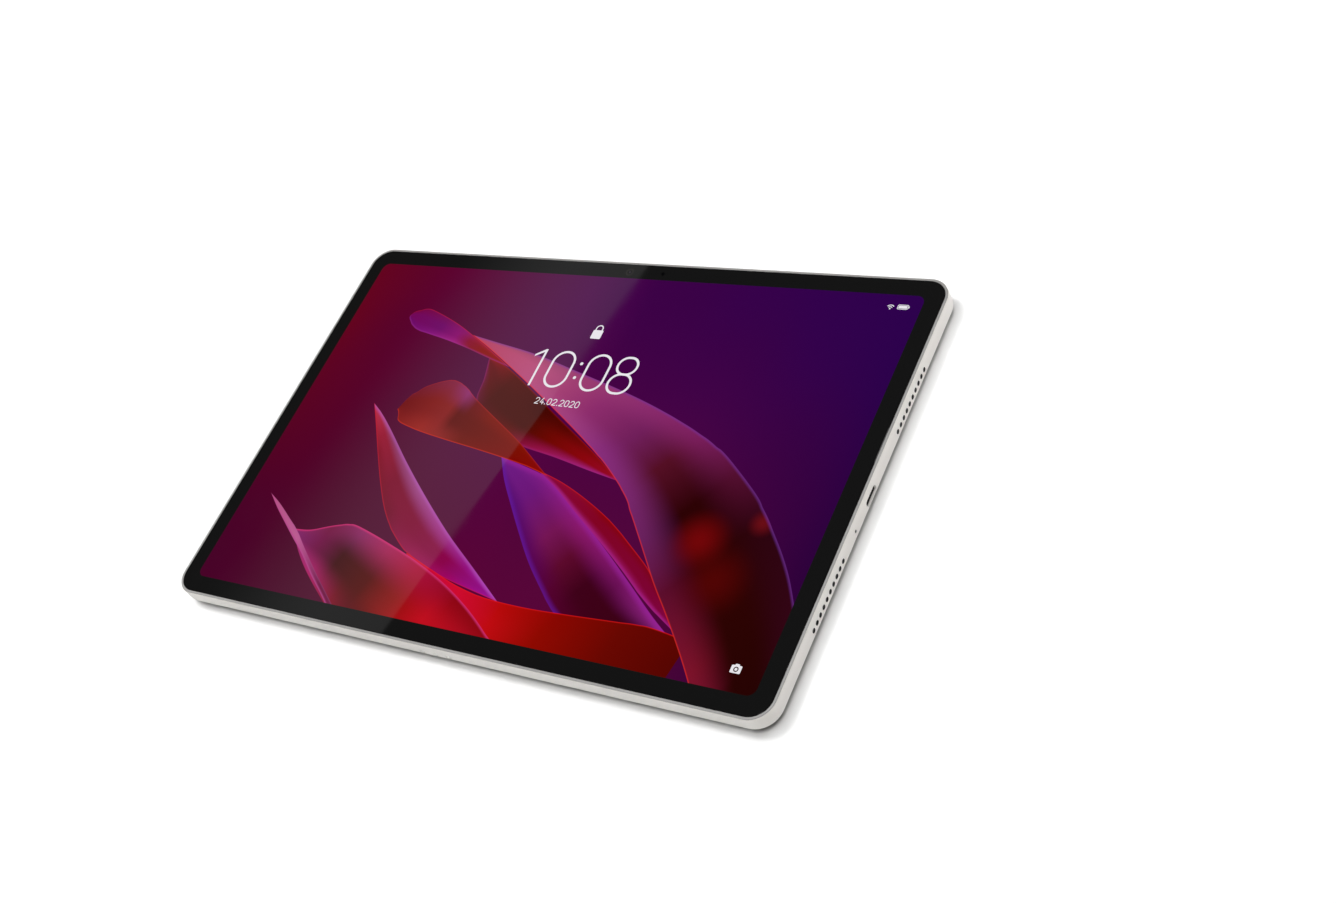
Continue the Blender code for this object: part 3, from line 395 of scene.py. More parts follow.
# Each ribbon: points along its edges from its tip to its far end, colours along its lower side, middle and
# upper side, and the colour, strength and width of the line on each edge. A glow is a centre, radius, colour
# and strength, and tip is the share of the length that is rounded.
RIBBONS = (
    dict(  # dark fold under the wide ribbon
        upper=((-48, 39), (-38, 36), (-25, 29.5), (0, 15), (30, -2), (44, -11.5)),
        lower=(
            (-48, 39), (-44.5, 27), (-43, 18), (-36, 9), (-22, 2), (-8, -2), (10, -5), (30, -9),
            (44, -11.5),
        ),
        low=(
            (0, (120, 20, 70)), (0.2, (84, 8, 20)), (0.4, (110, 10, 4)), (0.6, (150, 18, 74)),
            (1, (160, 36, 130)),
        ),
        mid=(
            (0, (110, 8, 20)), (0.2, (76, 8, 1)), (0.45, (74, 8, 1)), (0.6, (110, 6, 1)),
            (0.8, (138, 4, 12)), (1, (150, 8, 40)),
        ),
        high=(
            (0, (140, 12, 24)), (0.2, (84, 8, 1)), (0.45, (66, 4, 0)), (0.62, (84, 4, 0)),
            (0.85, (130, 6, 12)), (1, (140, 10, 30)),
        ),
        low_line=((160, 40, 130), 0.35, 0.8), high_line=((220, 30, 20), 0.2, 0.5),
    ),
    dict(  # violet petal below the middle
        upper=(
            (-15, -8), (0, -11), (12, -14.5), (30, -25.5), (50, -38.5), (70, -52.5), (86, -64),
            (100, -73),
        ),
        lower=(
            (-15, -8), (-8, -18), (2, -29.5), (12, -40.5), (22, -51), (32, -60), (46, -71), (66, -80),
            (100, -76),
        ),
        low=(
            (0, (96, 22, 120)), (0.2, (84, 10, 110)), (0.4, (86, 2, 84)), (0.55, (84, 0, 48)),
            (0.75, (64, 0, 20)), (1, (60, 0, 20)),
        ),
        mid=(
            (0, (110, 28, 134)), (0.2, (108, 22, 120)), (0.38, (116, 20, 84)), (0.5, (92, 8, 44)),
            (0.62, (62, 0, 24)), (1, (56, 0, 16)),
        ),
        high=(
            (0, (112, 30, 140)), (0.25, (130, 28, 128)), (0.45, (140, 24, 110)), (0.7, (116, 18, 96)),
            (1, (150, 40, 140)),
        ),
        low_line=((104, 30, 170), 0.5, 1.4), high_line=((150, 34, 150), 0.75, 1.6),
    ),
    dict(  # red layer along the violet petal's upper side
        upper=((4, -11), (20, -15.5), (35, -21.5), (50, -29), (64, -38), (76, -46.5), (88, -58), (98, -69)),
        lower=((4, -11), (18, -18.5), (32, -27.5), (48, -37.5), (64, -48), (80, -59), (98, -69)),
        low=((0, (150, 24, 90)), (0.5, (150, 20, 90)), (1, (150, 14, 100))),
        mid=((0, (138, 8, 60)), (0.4, (130, 2, 34)), (0.8, (124, 2, 50)), (1, (130, 4, 70))),
        high=((0, (150, 16, 60)), (0.4, (134, 2, 12)), (0.8, (120, 2, 30)), (1, (130, 4, 50))),
        low_line=((170, 40, 150), 0.5, 0.9), high_line=((220, 30, 26), 0.9, 0.35),
    ),
    dict(  # orange and red petal
        upper=(
            (-80.5, 10), (-77, 17), (-70, 22.5), (-60, 25.8), (-51, 23), (-44, 18.5), (-34, 13),
            (-20, 5.5), (-10, 0), (12, -14),
        ),
        lower=(
            (-80.5, 6), (-77, 2.2), (-70, 0), (-60, -2), (-45, -4.2), (-30, -6.2), (-15, -8.4), (0, -11),
            (12, -14),
        ),
        low=(
            (0, (120, 12, 14)), (0.2, (152, 34, 28)), (0.32, (140, 32, 30)), (0.45, (112, 16, 2)),
            (0.8, (124, 4, 2)), (1, (150, 4, 8)),
        ),
        mid=(
            (0, (110, 8, 12)), (0.16, (128, 18, 16)), (0.27, (134, 26, 26)), (0.33, (96, 6, 0)),
            (0.5, (106, 12, 0)), (0.75, (122, 14, 2)), (1, (140, 4, 6)),
        ),
        high=(
            (0, (112, 10, 22)), (0.2, (132, 32, 66)), (0.3, (142, 46, 108)), (0.38, (110, 10, 16)),
            (0.5, (124, 18, 0)), (0.8, (130, 18, 4)), (1, (140, 4, 20)),
        ),
        low_line=((214, 48, 22), 0.9, 0.4), high_line=((190, 40, 40), 0.55, 0.4), tip=0.055,
    ),
    dict(  # leaf on the left
        upper=(
            (-96, 10), (-88, 5), (-78, -2.5), (-60, -17), (-40, -32), (-20, -46), (0, -58.5),
            (19, -70.5),
        ),
        lower=(
            (-96, 10), (-88, -1), (-78, -15), (-68, -28.5), (-58, -40.5), (-48, -49.5), (-38, -56),
            (-20, -63), (19, -70.5),
        ),
        low=(
            (0, (190, 40, 60)), (0.2, (130, 6, 36)), (0.45, (114, 2, 42)), (0.65, (150, 20, 80)),
            (0.8, (156, 4, 96)), (1, (160, 20, 160)),
        ),
        mid=(
            (0, (190, 50, 80)), (0.15, (150, 20, 50)), (0.35, (124, 2, 44)), (0.55, (128, 2, 54)),
            (0.75, (138, 4, 74)), (1, (150, 20, 150)),
        ),
        high=(
            (0, (190, 70, 110)), (0.2, (140, 58, 104)), (0.45, (160, 74, 138)), (0.65, (164, 56, 142)),
            (0.82, (152, 22, 140)), (1, (170, 50, 190)),
        ),
        low_line=((200, 24, 50), 0.8, 0.4), high_line=((186, 92, 190), 0.5, 1.0),
    ),
    dict(  # bright red ribbon along the bottom
        upper=(
            (-36, -57), (-20, -62), (-5, -66.5), (10, -69.3), (30, -70.2), (50, -69.6), (70, -68.6),
            (86, -68), (102, -70),
        ),
        lower=((-36, -57), (-24, -70), (-10, -82), (10, -92), (30, -98), (60, -100), (102, -96)),
        low=((0, (180, 0, 60)), (0.35, (176, 8, 40)), (0.55, (140, 12, 12)), (1, (92, 8, 4))),
        mid=(
            (0, (184, 2, 60)), (0.25, (206, 8, 52)), (0.42, (190, 10, 16)), (0.58, (142, 8, 0)),
            (0.8, (104, 6, 0)), (1, (86, 4, 0)),
        ),
        high=(
            (0, (190, 2, 66)), (0.25, (206, 10, 46)), (0.42, (180, 8, 8)), (0.6, (136, 6, 0)),
            (0.8, (104, 6, 0)), (1, (88, 4, 0)),
        ),
        low_line=((200, 10, 30), 0.1, 0.6), high_line=((230, 24, 24), 0.9, 0.4),
    ),
    dict(  # dark petal rising from the bottom left
        upper=(
            (-100, -56), (-90, -55), (-80, -51.5), (-70, -49.2), (-60, -51), (-45, -55), (-30, -59.5),
            (-10, -67), (8, -76), (27, -88),
        ),
        lower=((-100, -56), (-90, -66), (-80, -74), (-65, -84), (-50, -93), (-20, -104), (27, -100)),
        low=(
            (0, (150, 50, 120)), (0.2, (170, 30, 104)), (0.35, (130, 6, 40)), (0.5, (52, 4, 4)),
            (0.75, (90, 4, 10)), (1, (176, 8, 46)),
        ),
        mid=(
            (0, (132, 40, 110)), (0.14, (112, 12, 70)), (0.26, (64, 2, 8)), (0.42, (84, 4, 0)),
            (0.56, (140, 14, 12)), (0.7, (190, 14, 30)), (1, (150, 8, 30)),
        ),
        high=(
            (0, (140, 40, 106)), (0.14, (116, 20, 66)), (0.26, (140, 40, 100)), (0.4, (166, 36, 90)),
            (0.55, (170, 16, 62)), (0.75, (140, 5, 20)), (1, (140, 7, 14)),
        ),
        low_line=((150, 20, 60), 0.3, 0.6), high_line=((216, 50, 120), 0.85, 0.7),
    ),
    dict(  # thin ribbon in the bottom left corner
        upper=(
            (-124, -41), (-115, -45.5), (-105, -51.5), (-97, -56.5), (-88, -63.5), (-76, -72.5),
            (-64, -81), (-50, -91),
        ),
        lower=(
            (-124, -41), (-115, -48), (-105, -55), (-97, -60.5), (-88, -66.5), (-76, -75.5), (-64, -84),
            (-54, -92),
        ),
        low=((0, (180, 84, 130)), (0.5, (170, 70, 140)), (0.8, (150, 50, 120)), (1, (170, 30, 110))),
        mid=(
            (0, (178, 84, 130)), (0.4, (186, 90, 144)), (0.6, (150, 52, 110)), (0.75, (110, 10, 64)),
            (1, (110, 6, 60)),
        ),
        high=(
            (0, (176, 80, 128)), (0.4, (180, 86, 146)), (0.55, (150, 52, 112)), (0.75, (110, 20, 80)),
            (1, (100, 8, 60)),
        ),
        low_line=((190, 70, 140), 0.6, 0.6), high_line=((200, 100, 150), 0.2, 0.4),
    ),
    dict(  # the wide ribbon that sweeps to the right
        upper=(
            (-64, 50), (-50, 47.5), (-25, 43), (0, 36.5), (30, 28.3), (50, 21.8), (70, 13.8), (85, 5.8),
            (100, -5.2), (112, -16.5), (122, -28), (130, -38), (137, -49.5), (150, -76), (162, -106),
        ),
        lower=(
            (-64, 50), (-50, 43.2), (-25, 30), (0, 16), (15, 7.3), (30, -2), (43, -11.2), (50, -17.5),
            (60, -28.5), (70, -40), (80, -51.5), (90, -62), (100, -73), (111, -86), (126, -106),
        ),
        low=(
            (0, (180, 60, 80)), (0.18, (182, 78, 126)), (0.4, (136, 46, 124)), (0.6, (104, 32, 92)),
            (0.7, (92, 12, 44)), (0.84, (124, 18, 42)), (1, (104, 18, 50)),
        ),
        mid=(
            (0, (180, 60, 90)), (0.16, (182, 78, 122)), (0.32, (140, 44, 108)), (0.42, (112, 30, 90)),
            (0.5, (84, 14, 36)), (0.6, (44, 1, 3)), (0.8, (44, 2, 1)), (1, (34, 2, 1)),
        ),
        high=(
            (0, (176, 76, 100)), (0.2, (158, 66, 112)), (0.38, (140, 44, 110)), (0.5, (122, 30, 92)),
            (0.6, (84, 14, 48)), (0.7, (44, 3, 14)), (1, (54, 4, 24)),
        ),
        low_line=((226, 44, 34), 1.0, 0.4), high_line=((116, 50, 150), 0.6, 0.8),
        glows=(
            ((90, -31), 15, (120, 5, 8), 0.85), ((112, -20), 7, (114, 14, 22), 0.8),
            ((103, -46), 18, (96, 4, 3), 0.6),
        ),
    ),
    dict(  # its rounded tail
        upper=((-103, 60), (-96, 61.8), (-90, 60.6), (-75, 55.2), (-62, 49.2), (-50, 43.2), (-35, 35.3)),
        lower=((-103, 54), (-96, 50), (-88, 48.2), (-76, 45.8), (-62, 42.4), (-50, 39), (-35, 35)),
        low=(
            (0, (100, 8, 100)), (0.25, (128, 14, 118)), (0.48, (156, 24, 124)), (0.62, (134, 8, 18)),
            (1, (146, 12, 12)),
        ),
        mid=(
            (0, (114, 7, 88)), (0.3, (110, 4, 102)), (0.46, (136, 4, 108)), (0.58, (136, 3, 44)),
            (0.72, (136, 8, 5)), (1, (140, 10, 10)),
        ),
        high=(
            (0, (118, 4, 60)), (0.3, (116, 5, 88)), (0.5, (136, 8, 104)), (0.62, (150, 10, 50)),
            (1, (160, 12, 20)),
        ),
        low_line=((166, 50, 150), 0.4, 0.6), high_line=((200, 30, 60), 0.8, 0.35), tip=0.08,
    ),
)


def smooth_line(points, spot):
    """The value at a place on a smooth line through points of (place, value)."""
    last = len(points) - 2
    index = max(0, min(last, sum(place <= spot for place, _ in points) - 1))

    def slope(at):
        before, after = points[max(at - 1, 0)], points[min(at + 1, last + 1)]
        return (after[1] - before[1]) / (after[0] - before[0])

    (x0, y0), (x1, y1) = points[index], points[index + 1]
    span = x1 - x0
    share = min(max((spot - x0) / span, 0.0), 1.0)
    first, second = slope(index) * span, slope(index + 1) * span
    turn = 3 * share**2 - 2 * share**3
    bend_in = share * (1 - share) ** 2
    bend_out = share**2 * (share - 1)
    return y0 + (y1 - y0) * turn + first * bend_in + second * bend_out


def ribbon_edges(ribbon, steps=28):
    """A ribbon's direction, and its upper and lower edge as close points measured along and across it."""
    start, end = Vector(ribbon["upper"][0]), Vector(ribbon["upper"][-1])
    far = (end + Vector(ribbon["lower"][-1])) / 2 - start
    heading = far.normalized()
    normal = Vector((-heading.y, heading.x))
    edges = []
    for side in ("upper", "lower"):
        rel = [Vector(point) - start for point in ribbon[side]]
        edges.append([(point.dot(heading) / far.length, point.dot(normal)) for point in rel])
    tip = ribbon.get("tip", 0.0)
    crowding = 2.6 if tip else 1.6
    lines = ([], [])
    for step in range(steps + 1):
        spot = (step / steps) ** crowding
        middle_line = sum(smooth_line(edge, spot) for edge in edges) / 2
        rounding = math.sqrt(max(0.0, 1 - (1 - spot / tip) ** 2)) if spot < tip else 1.0
        for line, edge in zip(lines, edges):
            reach = smooth_line(edge, max(spot, tip * 0.5)) - middle_line
            line.append((spot, middle_line + reach * rounding))
    return start, heading, normal, far.length, lines


def lay_ribbon(graph, under, spot, ribbon):
    """Lays one soft ribbon over the colours under it."""
    start, heading, normal, length, (upper, lower) = ribbon_edges(ribbon)
    away = graph.vector("SUBTRACT", spot, (*start, 0.0))
    ahead = graph.node("VectorMath", {0: away, 1: (*heading / length, 0.0)}, operation="DOT_PRODUCT")
    aside = graph.node("VectorMath", {0: away, 1: (*normal, 0.0)}, operation="DOT_PRODUCT")
    along, across = ahead.outputs["Value"], aside.outputs["Value"]
    above = graph.maths("SUBTRACT", graph.curve(along, upper), across)
    beneath = graph.maths("SUBTRACT", across, graph.curve(along, lower))
    share = graph.maths("DIVIDE", beneath, graph.maths("MAXIMUM", graph.maths("ADD", above, beneath), 0.01))
    inside = graph.product(graph.over(along, 0.0), graph.under(along, 1.0))
    edge = graph.mapped(graph.maths("MINIMUM", above, beneath), 0.0, 0.3, smooth=True)
    cover = graph.maths("MULTIPLY", edge, inside)
    low, mid, high = (graph.ramp(along, ribbon[side]) for side in ("low", "mid", "high"))
    colour = graph.mix(graph.mapped(share, 0.55, 1.0, smooth=True), mid, high)
    colour = graph.mix(graph.mapped(share, 0.42, 0.0, smooth=True), colour, low)
    for centre, radius, tone, strength in ribbon.get("glows", ()):
        distance = graph.vector("LENGTH", graph.vector("SUBTRACT", spot, (*centre, 0.0)))
        glow = graph.maths("MULTIPLY", graph.mapped(distance, radius, 0.0, smooth=True), strength)
        colour = graph.mix(glow, colour, srgb(*tone))
    for room, line in ((above, "high_line"), (beneath, "low_line")):
        tone, strength, width = ribbon[line]
        glow = graph.maths("MULTIPLY", graph.mapped(room, width * 2, 0.0, smooth=True), strength)
        colour = graph.mix(glow, colour, srgb(*tone))
    return graph.mix(cover, under, colour)


CAMERA_PAINTED_RADIUS = 2.4
SENSOR_PRINT = 0.9


def screen_finish():
    """Black glass with faint smears, and the picture that shines through it."""
    graph = Graph("screen_glass")
    spot = graph.scaled(graph.place, 1 / MM)
    x, y, _ = graph.split(spot)
    flat = graph.join(x, y)
    sideways = graph.mapped(x, -LIT_HALF.x, LIT_HALF.x)
    upwards = graph.mapped(y, -LIT_HALF.y, LIT_HALF.y, smooth=True)
    picture = graph.mix(upwards, graph.ramp(sideways, GROUND_LOW), graph.ramp(sideways, GROUND_TOP))
    drift = graph.noise(70.0, detail=1.0)
    picture = graph.mix(graph.mapped(drift, 0.4, 0.7, 0.0, 0.15), picture, srgb(60, 0, 50))
    for ribbon in RIBBONS:
        picture = lay_ribbon(graph, picture, flat, ribbon)
    past = graph.past_corner(flat, LIT_HALF, LIT_CORNER)
    lit = graph.mapped(past, LIT_CORNER + LIT_BLUR, LIT_CORNER - LIT_BLUR)
    picture = graph.mix(lit, (0.0, 0.0, 0.0, 1.0), picture)

    # The front camera drawn in the glass: dark rings round the lens, with a painted glint as the lighter middle
    rings = (
        (0.0, (58, 52, 60)), (0.2, (30, 26, 34)), (0.3, (8, 8, 9)),
        (0.62, (34, 32, 31)), (0.72, (40, 38, 36)), (0.8, (18, 18, 18)),
    )
    from_lens = graph.away(x, y, middle("front_camera_lens"))
    from_sensor = graph.away(x, y, middle("light_sensor"))
    body = graph.ramp(graph.mapped(from_lens, 0.0, CAMERA_PAINTED_RADIUS), rings)
    body = graph.mix(lit, body, (0.0, 0.0, 0.0, 1.0))
    body = graph.mix(graph.mapped(from_sensor, SENSOR_PRINT, SENSOR_PRINT - 0.1), body, srgb(4, 4, 5))
    smear = graph.noise(26.0, (1.0, 0.5, 1.0), 5.0)
    graph.set(
        Base_Color=body, Roughness=graph.mapped(smear, 0.45, 0.7, 0.02, 0.06), IOR=1.5,
        Emission_Color=picture, Emission_Strength=1.0,
    )
    return graph.material


PIXEL = 0.093


def glow_finish(name):
    """White picture elements, with the fine grid of a screen in them."""
    graph = Graph(name)
    x, y, _ = graph.split(graph.scaled(graph.place, 2 * math.pi / (PIXEL * MM)))
    grid = graph.maths("MULTIPLY", graph.maths("SINE", x), graph.maths("SINE", y))
    white = graph.ramp(graph.mapped(grid, -1.0, 1.0), ((0.0, (236, 234, 240)), (1.0, (250, 248, 252))))
    graph.set(Base_Color=srgb(10, 10, 12), Roughness=0.05, Emission_Color=white, Emission_Strength=0.9)
    return graph.material


# Small pieces


def new_piece(name, shape, material, body, smooth=True):
    """Adds a shape drawn in millimetres to the scene as a piece of the tablet."""
    bmesh.ops.recalc_face_normals(shape, faces=shape.faces)
    shape.transform(Matrix.Scale(MM, 4))
    mesh = bpy.data.meshes.new(name)
    shape.to_mesh(mesh)
    shape.free()
    piece = bpy.data.objects.new(name, mesh)
    bpy.context.scene.collection.objects.link(piece)
    mesh.materials.append(material)
    if smooth:
        mesh.shade_smooth()
        mesh.set_sharp_from_angle(angle=math.radians(35))
    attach(piece, body)
    return piece


def turned(profile, place, steps=72):
    """A closed profile of (radius, height) points, turned round an upright line at a place."""
    shape = bmesh.new()
    rings = []
    for radius, height in profile:
        if radius == 0.0:
            rings.append([shape.verts.new((place.x, place.y, height))])
            continue
        turns = (2 * math.pi * step / steps for step in range(steps))
        rings.append([
            shape.verts.new((place.x + radius * math.cos(turn), place.y + radius * math.sin(turn), height))
            for turn in turns
        ])
    pairs = list(zip(rings, rings[1:]))
    if profile[0][0] != 0.0:
        pairs.append((rings[-1], rings[0]))
    for first, second in pairs:
        for step in range(steps):
            following = (step + 1) % steps
            corners = [first[step % len(first)], first[following % len(first)]]
            corners += [second[following % len(second)], second[step % len(second)]]
            unique = list(dict.fromkeys(corners))
            if len(unique) > 2:
                shape.faces.new(unique)
    return shape


def prism(shape, outline, low, high, holes=()):
    """A flat solid of an outline between two heights, with an optional hole of the same point count."""
    loops = []
    for height in (low, high):
        loops.append([[shape.verts.new((x, y, height)) for x, y in loop] for loop in (outline, *holes)])
    for lower, upper in zip(*loops):
        for index in range(len(lower)):
            after = (index + 1) % len(lower)
            shape.faces.new((lower[index], lower[after], upper[after], upper[index]))
    for level in loops:
        if not holes:
            shape.faces.new(level[0])
            continue
        outer, inner = level
        for index in range(len(outer)):
            after = (index + 1) % len(outer)
            shape.faces.new((outer[index], outer[after], inner[after], inner[index]))


def arc(centre, radius, first, last, steps=12):
    """Points along a round arc, between two angles in degrees."""
    turns = (math.radians(first + (last - first) * step / steps) for step in range(steps + 1))
    return [(centre[0] + radius * math.cos(turn), centre[1] + radius * math.sin(turn)) for turn in turns]


def box_outline(centre, size, corner, steps=6):
    """The outline of a rectangle with round corners."""
    points = []
    for turn, (side_x, side_y) in enumerate(((1, 1), (-1, 1), (-1, -1), (1, -1))):
        spot = (centre[0] + side_x * (size[0] / 2 - corner), centre[1] + side_y * (size[1] / 2 - corner))
        points += arc(spot, corner, turn * 90, turn * 90 + 90, steps)
    return points


def offset(path, distance, closed=False):
    """A path moved sideways by a distance."""
    moved = []
    for index, (x, y) in enumerate(path):
        before = path[index - 1] if closed or index > 0 else path[0]
        after = path[(index + 1) % len(path)] if closed or index < len(path) - 1 else path[-1]
        heading = Vector((after[0] - before[0], after[1] - before[1])).normalized()
        moved.append((x - heading.y * distance, y + heading.x * distance))
    return moved


def stroke(path, width):
    """The outline of a pen stroke with round ends along a path."""
    left = offset(path, width / 2)
    right = offset(path, -width / 2)
    last = Vector(path[-1]) - Vector(path[-2])
    first = Vector(path[1]) - Vector(path[0])
    end_turn = math.degrees(math.atan2(last.y, last.x))
    start_turn = math.degrees(math.atan2(first.y, first.x))
    end_cap = arc(path[-1], width / 2, end_turn + 90, end_turn - 90, 8)[1:-1]
    start_cap = arc(path[0], width / 2, start_turn - 90, start_turn - 270, 8)[1:-1]
    return left + end_cap + right[::-1] + start_cap


ICON_LOW = GLASS_TOP + 0.004
ICON_HIGH = GLASS_TOP + 0.02
LAYER = 0.002


def stadium(centre, size):
    """The middle line of a shape with round ends, as a closed path."""
    return box_outline(centre, size, min(size) / 2 - 0.001, 14)


def ring_path(shape, path, pen):
    """Draws a closed pen line along a path."""
    prism(shape, offset(path, -pen / 2, True), ICON_LOW, ICON_HIGH, holes=[offset(path, pen / 2, True)])


def add_stroke(shape, path, pen, lift=0.0):
    prism(shape, stroke(path, pen), ICON_LOW + lift, ICON_HIGH + lift)


def add_dot(shape, centre, radius):
    prism(shape, arc(centre, radius, 0, 345, 23), ICON_LOW, ICON_HIGH)


def digit(shape, character, corner, height, pen):
    """Draws one character with the lower left corner of its middle line at a place."""
    x, y = corner
    width = height * 0.6
    if character == "1":
        stem = x + width * 0.5
        shoulder = y + height * 0.86
        outline = (
            (stem, y - pen / 2), (stem, y + height + pen / 2), (stem - pen * 0.8, y + height + pen / 2),
            (x, shoulder), (x, shoulder - pen), (stem - pen, y + height - pen * 0.9), (stem - pen, y - pen / 2),
        )
        prism(shape, outline, ICON_LOW, ICON_HIGH)
    elif character == "0":
        ring_path(shape, stadium((x + width / 2, y + height / 2), (width, height)), pen)
    elif character == "8":
        upper = height * 0.47
        lower = height - upper
        ring_path(shape, stadium((x + width / 2, y + height - upper / 2), (width * 0.88, upper)), pen)
        ring_path(shape, stadium((x + width / 2, y + lower / 2), (width, lower)), pen)
    elif character == "2":
        bowl = arc((x + width / 2, y + height - width / 2), width / 2, 165, -35, 14)
        add_stroke(shape, [*bowl, (x, y)], pen)
        add_stroke(shape, [(x, y), (x + width, y)], pen, LAYER)
    elif character == "4":
        bar = y + height * 0.28
        upright = x + width * 0.72
        add_stroke(shape, [(x + width * 0.6, y + height), (x, bar)], pen)
        add_stroke(shape, [(x, bar), (x + width, bar)], pen, LAYER)
        add_stroke(shape, [(upright, y + height * 0.5), (upright, y)], pen, LAYER * 2)
    else:
        for share in {":": (0.31, 0.71), ".": (0.04,)}[character]:
            add_dot(shape, (x, y + height * share), pen * 0.72)


def write_digits(name, places, base, height, pen, material):
    """Draws characters, each given with its left end."""
    shape = bmesh.new()
    for character, x in places:
        digit(shape, character, (x, base), height, pen)
    new_piece(name, shape, material, "chassis", smooth=False)


CLOCK_PLACES = (("1", -25.2), ("0", -14.5), (":", 0.1), ("0", 3.7), ("8", 17.2))
CLOCK_BASE, CLOCK_HEIGHT, CLOCK_PEN = 27.8, 17.7, 1.05
DATE_PLACES = tuple(zip("24.02.2020", (-12.9, -10.3, -7.7, -6.7, -4.1, -1.5, -0.5, 2.1, 4.7, 7.3)))
DATE_BASE, DATE_HEIGHT, DATE_PEN = 19.0, 2.9, 0.36
LOCK = (-0.1, 55.5)
SIGNAL = (124.2, 78.7)
BATTERY = (129.3, 79.8)
CAMERA_ICON = (126.1, -77.0)


def screen_icons():
    glow = glow_finish("screen_white")

    def finish_icon(name, shape):
        new_piece(name, shape, glow, "chassis", smooth=False)

    write_digits("screen_clock", CLOCK_PLACES, CLOCK_BASE, CLOCK_HEIGHT, CLOCK_PEN, glow)
    write_digits("screen_date", DATE_PLACES, DATE_BASE, DATE_HEIGHT, DATE_PEN, glow)

    lock = bmesh.new()
    x, y = LOCK
    prism(lock, box_outline(LOCK, (5.0, 4.4), 0.5), ICON_LOW, ICON_HIGH)
    bow = arc((x, y + 3.0), 1.6, 180, 0)
    shackle = [(x - 1.6, y + 1.9), (x - 1.6, y + 2.9), *bow, (x + 1.6, y + 2.9), (x + 1.6, y + 1.9)]
    add_stroke(lock, shackle, 0.55)
    finish_icon("screen_lock", lock)

    signal = bmesh.new()
    for radius in (0.95, 1.75):
        add_stroke(signal, arc(SIGNAL, radius, 45, 135), 0.36)
    add_dot(signal, SIGNAL, 0.32)
    finish_icon("screen_signal", signal)

    battery = bmesh.new()
    ring_path(battery, box_outline(BATTERY, (4.3, 2.0), 0.5), 0.26)
    prism(battery, box_outline(BATTERY, (3.6, 1.3), 0.2), ICON_LOW, ICON_HIGH)
    prism(battery, box_outline((BATTERY[0] + 2.5, BATTERY[1]), (0.35, 0.9), 0.15), ICON_LOW, ICON_HIGH)
    finish_icon("screen_battery", battery)

    camera = bmesh.new()
    x, y = CAMERA_ICON
    body = box_outline(CAMERA_ICON, (4.1, 3.0), 0.4, 7)
    turns = (math.radians((step + 0.5) * 360 / len(body)) for step in range(len(body)))
    mouth = [(x + math.cos(turn), y + math.sin(turn)) for turn in turns]
    prism(camera, body, ICON_LOW, ICON_HIGH, holes=[mouth])
    top = y + 1.5
    hump = ((x - 1.0, top), (x + 1.0, top), (x + 0.65, top + 0.55), (x - 0.65, top + 0.55))
    prism(camera, hump, ICON_LOW, ICON_HIGH)
    add_dot(camera, CAMERA_ICON, 0.58)
    finish_icon("screen_camera", camera)


def lens_glass(name):
    """Coated glass: dark, with a painted grey-green sheen where it faces the viewer and a painted dark purple
    sheen where it turns away.
    """
    graph = Graph(name)
    facing = graph.node("LayerWeight", {"Blend": 0.35}).outputs["Facing"]
    # Painted sheen: the colour follows how squarely the glass faces the viewer
    graph.set(
        Base_Color=graph.ramp(facing, ((0.0, (70, 84, 78)), (0.35, (30, 38, 40)), (0.8, (24, 14, 34)))),
        Roughness=graph.mapped(graph.noise(1.2), 0.3, 0.7, 0.03, 0.06), IOR=1.6, Coat_Weight=1.0,
    )
    graph.set(Coat_Roughness=0.02)
    return graph.material


LENS_SHARES = (("main", 1.0), ("macro", 0.82))
LENS_MOUTH = 3.9
BAFFLE_STEPS = 4
BAFFLE_RUN, BAFFLE_TREAD, BAFFLE_RISE = 0.36, 0.34, 0.09
DOME_EDGE, DOME_HEIGHT = 0.42, 0.3


def lens_pieces():
    """The black plate, the stepped baffle and the domed front element in each lens opening."""
    tones = ((10, 10, 11), (17, 17, 18))
    black = plain("baffle_black", tones, 5.0, (0.06, 0.12), grain=(0.8, 0.0004), coat=0.5)
    matte = plain("baffle_steps", ((14, 14, 15), (22, 22, 23)), 2.0, (0.4, 0.55), grain=(0.05, 0.002))
    coated = lens_glass("coated_glass_painted_sheen")
    for kind, share in LENS_SHARES:
        node = f"lens_window_{kind}"
        place = middle(node)
        radius = middle_reach(node).x
        low, high = (corner[2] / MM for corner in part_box(node))
        mouth = LENS_MOUTH * share
        plate = (
            (radius - 0.1, low), (radius, low + 0.1), (radius, high),
            (mouth, high), (mouth, low + 0.06), (mouth + 0.08, low),
        )
        window = new_piece(f"lens_plate_{kind}", turned(plate, place), black, "chassis")
        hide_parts(node)
        start = mouth - 0.02
        steps = [(start, high)]
        for index in range(BAFFLE_STEPS):
            reach = start - index * BAFFLE_RUN * share
            rise = low + 0.1 + index * BAFFLE_RISE
            steps += [(reach, rise), (reach - BAFFLE_TREAD * share, rise + 0.03)]
        inner = steps[-1][0]
        steps.append((inner, high))
        new_piece(f"lens_steps_{kind}", turned(steps, place), matte, "chassis")
        rim = inner - 0.03
        dome = [(0.0, high), (rim, high)]
        for turn in range(0, 90, 9):
            angle = math.radians(turn)
            dome.append((rim * math.cos(angle), low + DOME_EDGE - DOME_HEIGHT * math.sin(angle)))
        dome.append((0.0, low + DOME_EDGE - DOME_HEIGHT))
        new_piece(f"lens_element_{kind}", turned(dome, place), coated, "chassis")


def flash_ring(material):
    """The bright collar round the flash."""
    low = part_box("flash_lens")[0][2] / MM
    profile = (
        (2.74, low + 0.24), (2.74, low - 0.02), (2.62, low - 0.07),
        (2.42, low - 0.04), (2.34, low + 0.06), (2.34, low + 0.24),
    )
    new_piece("flash_ring", turned(profile, middle("flash_lens")), material, "chassis")


FELT_RADIUS = 0.85


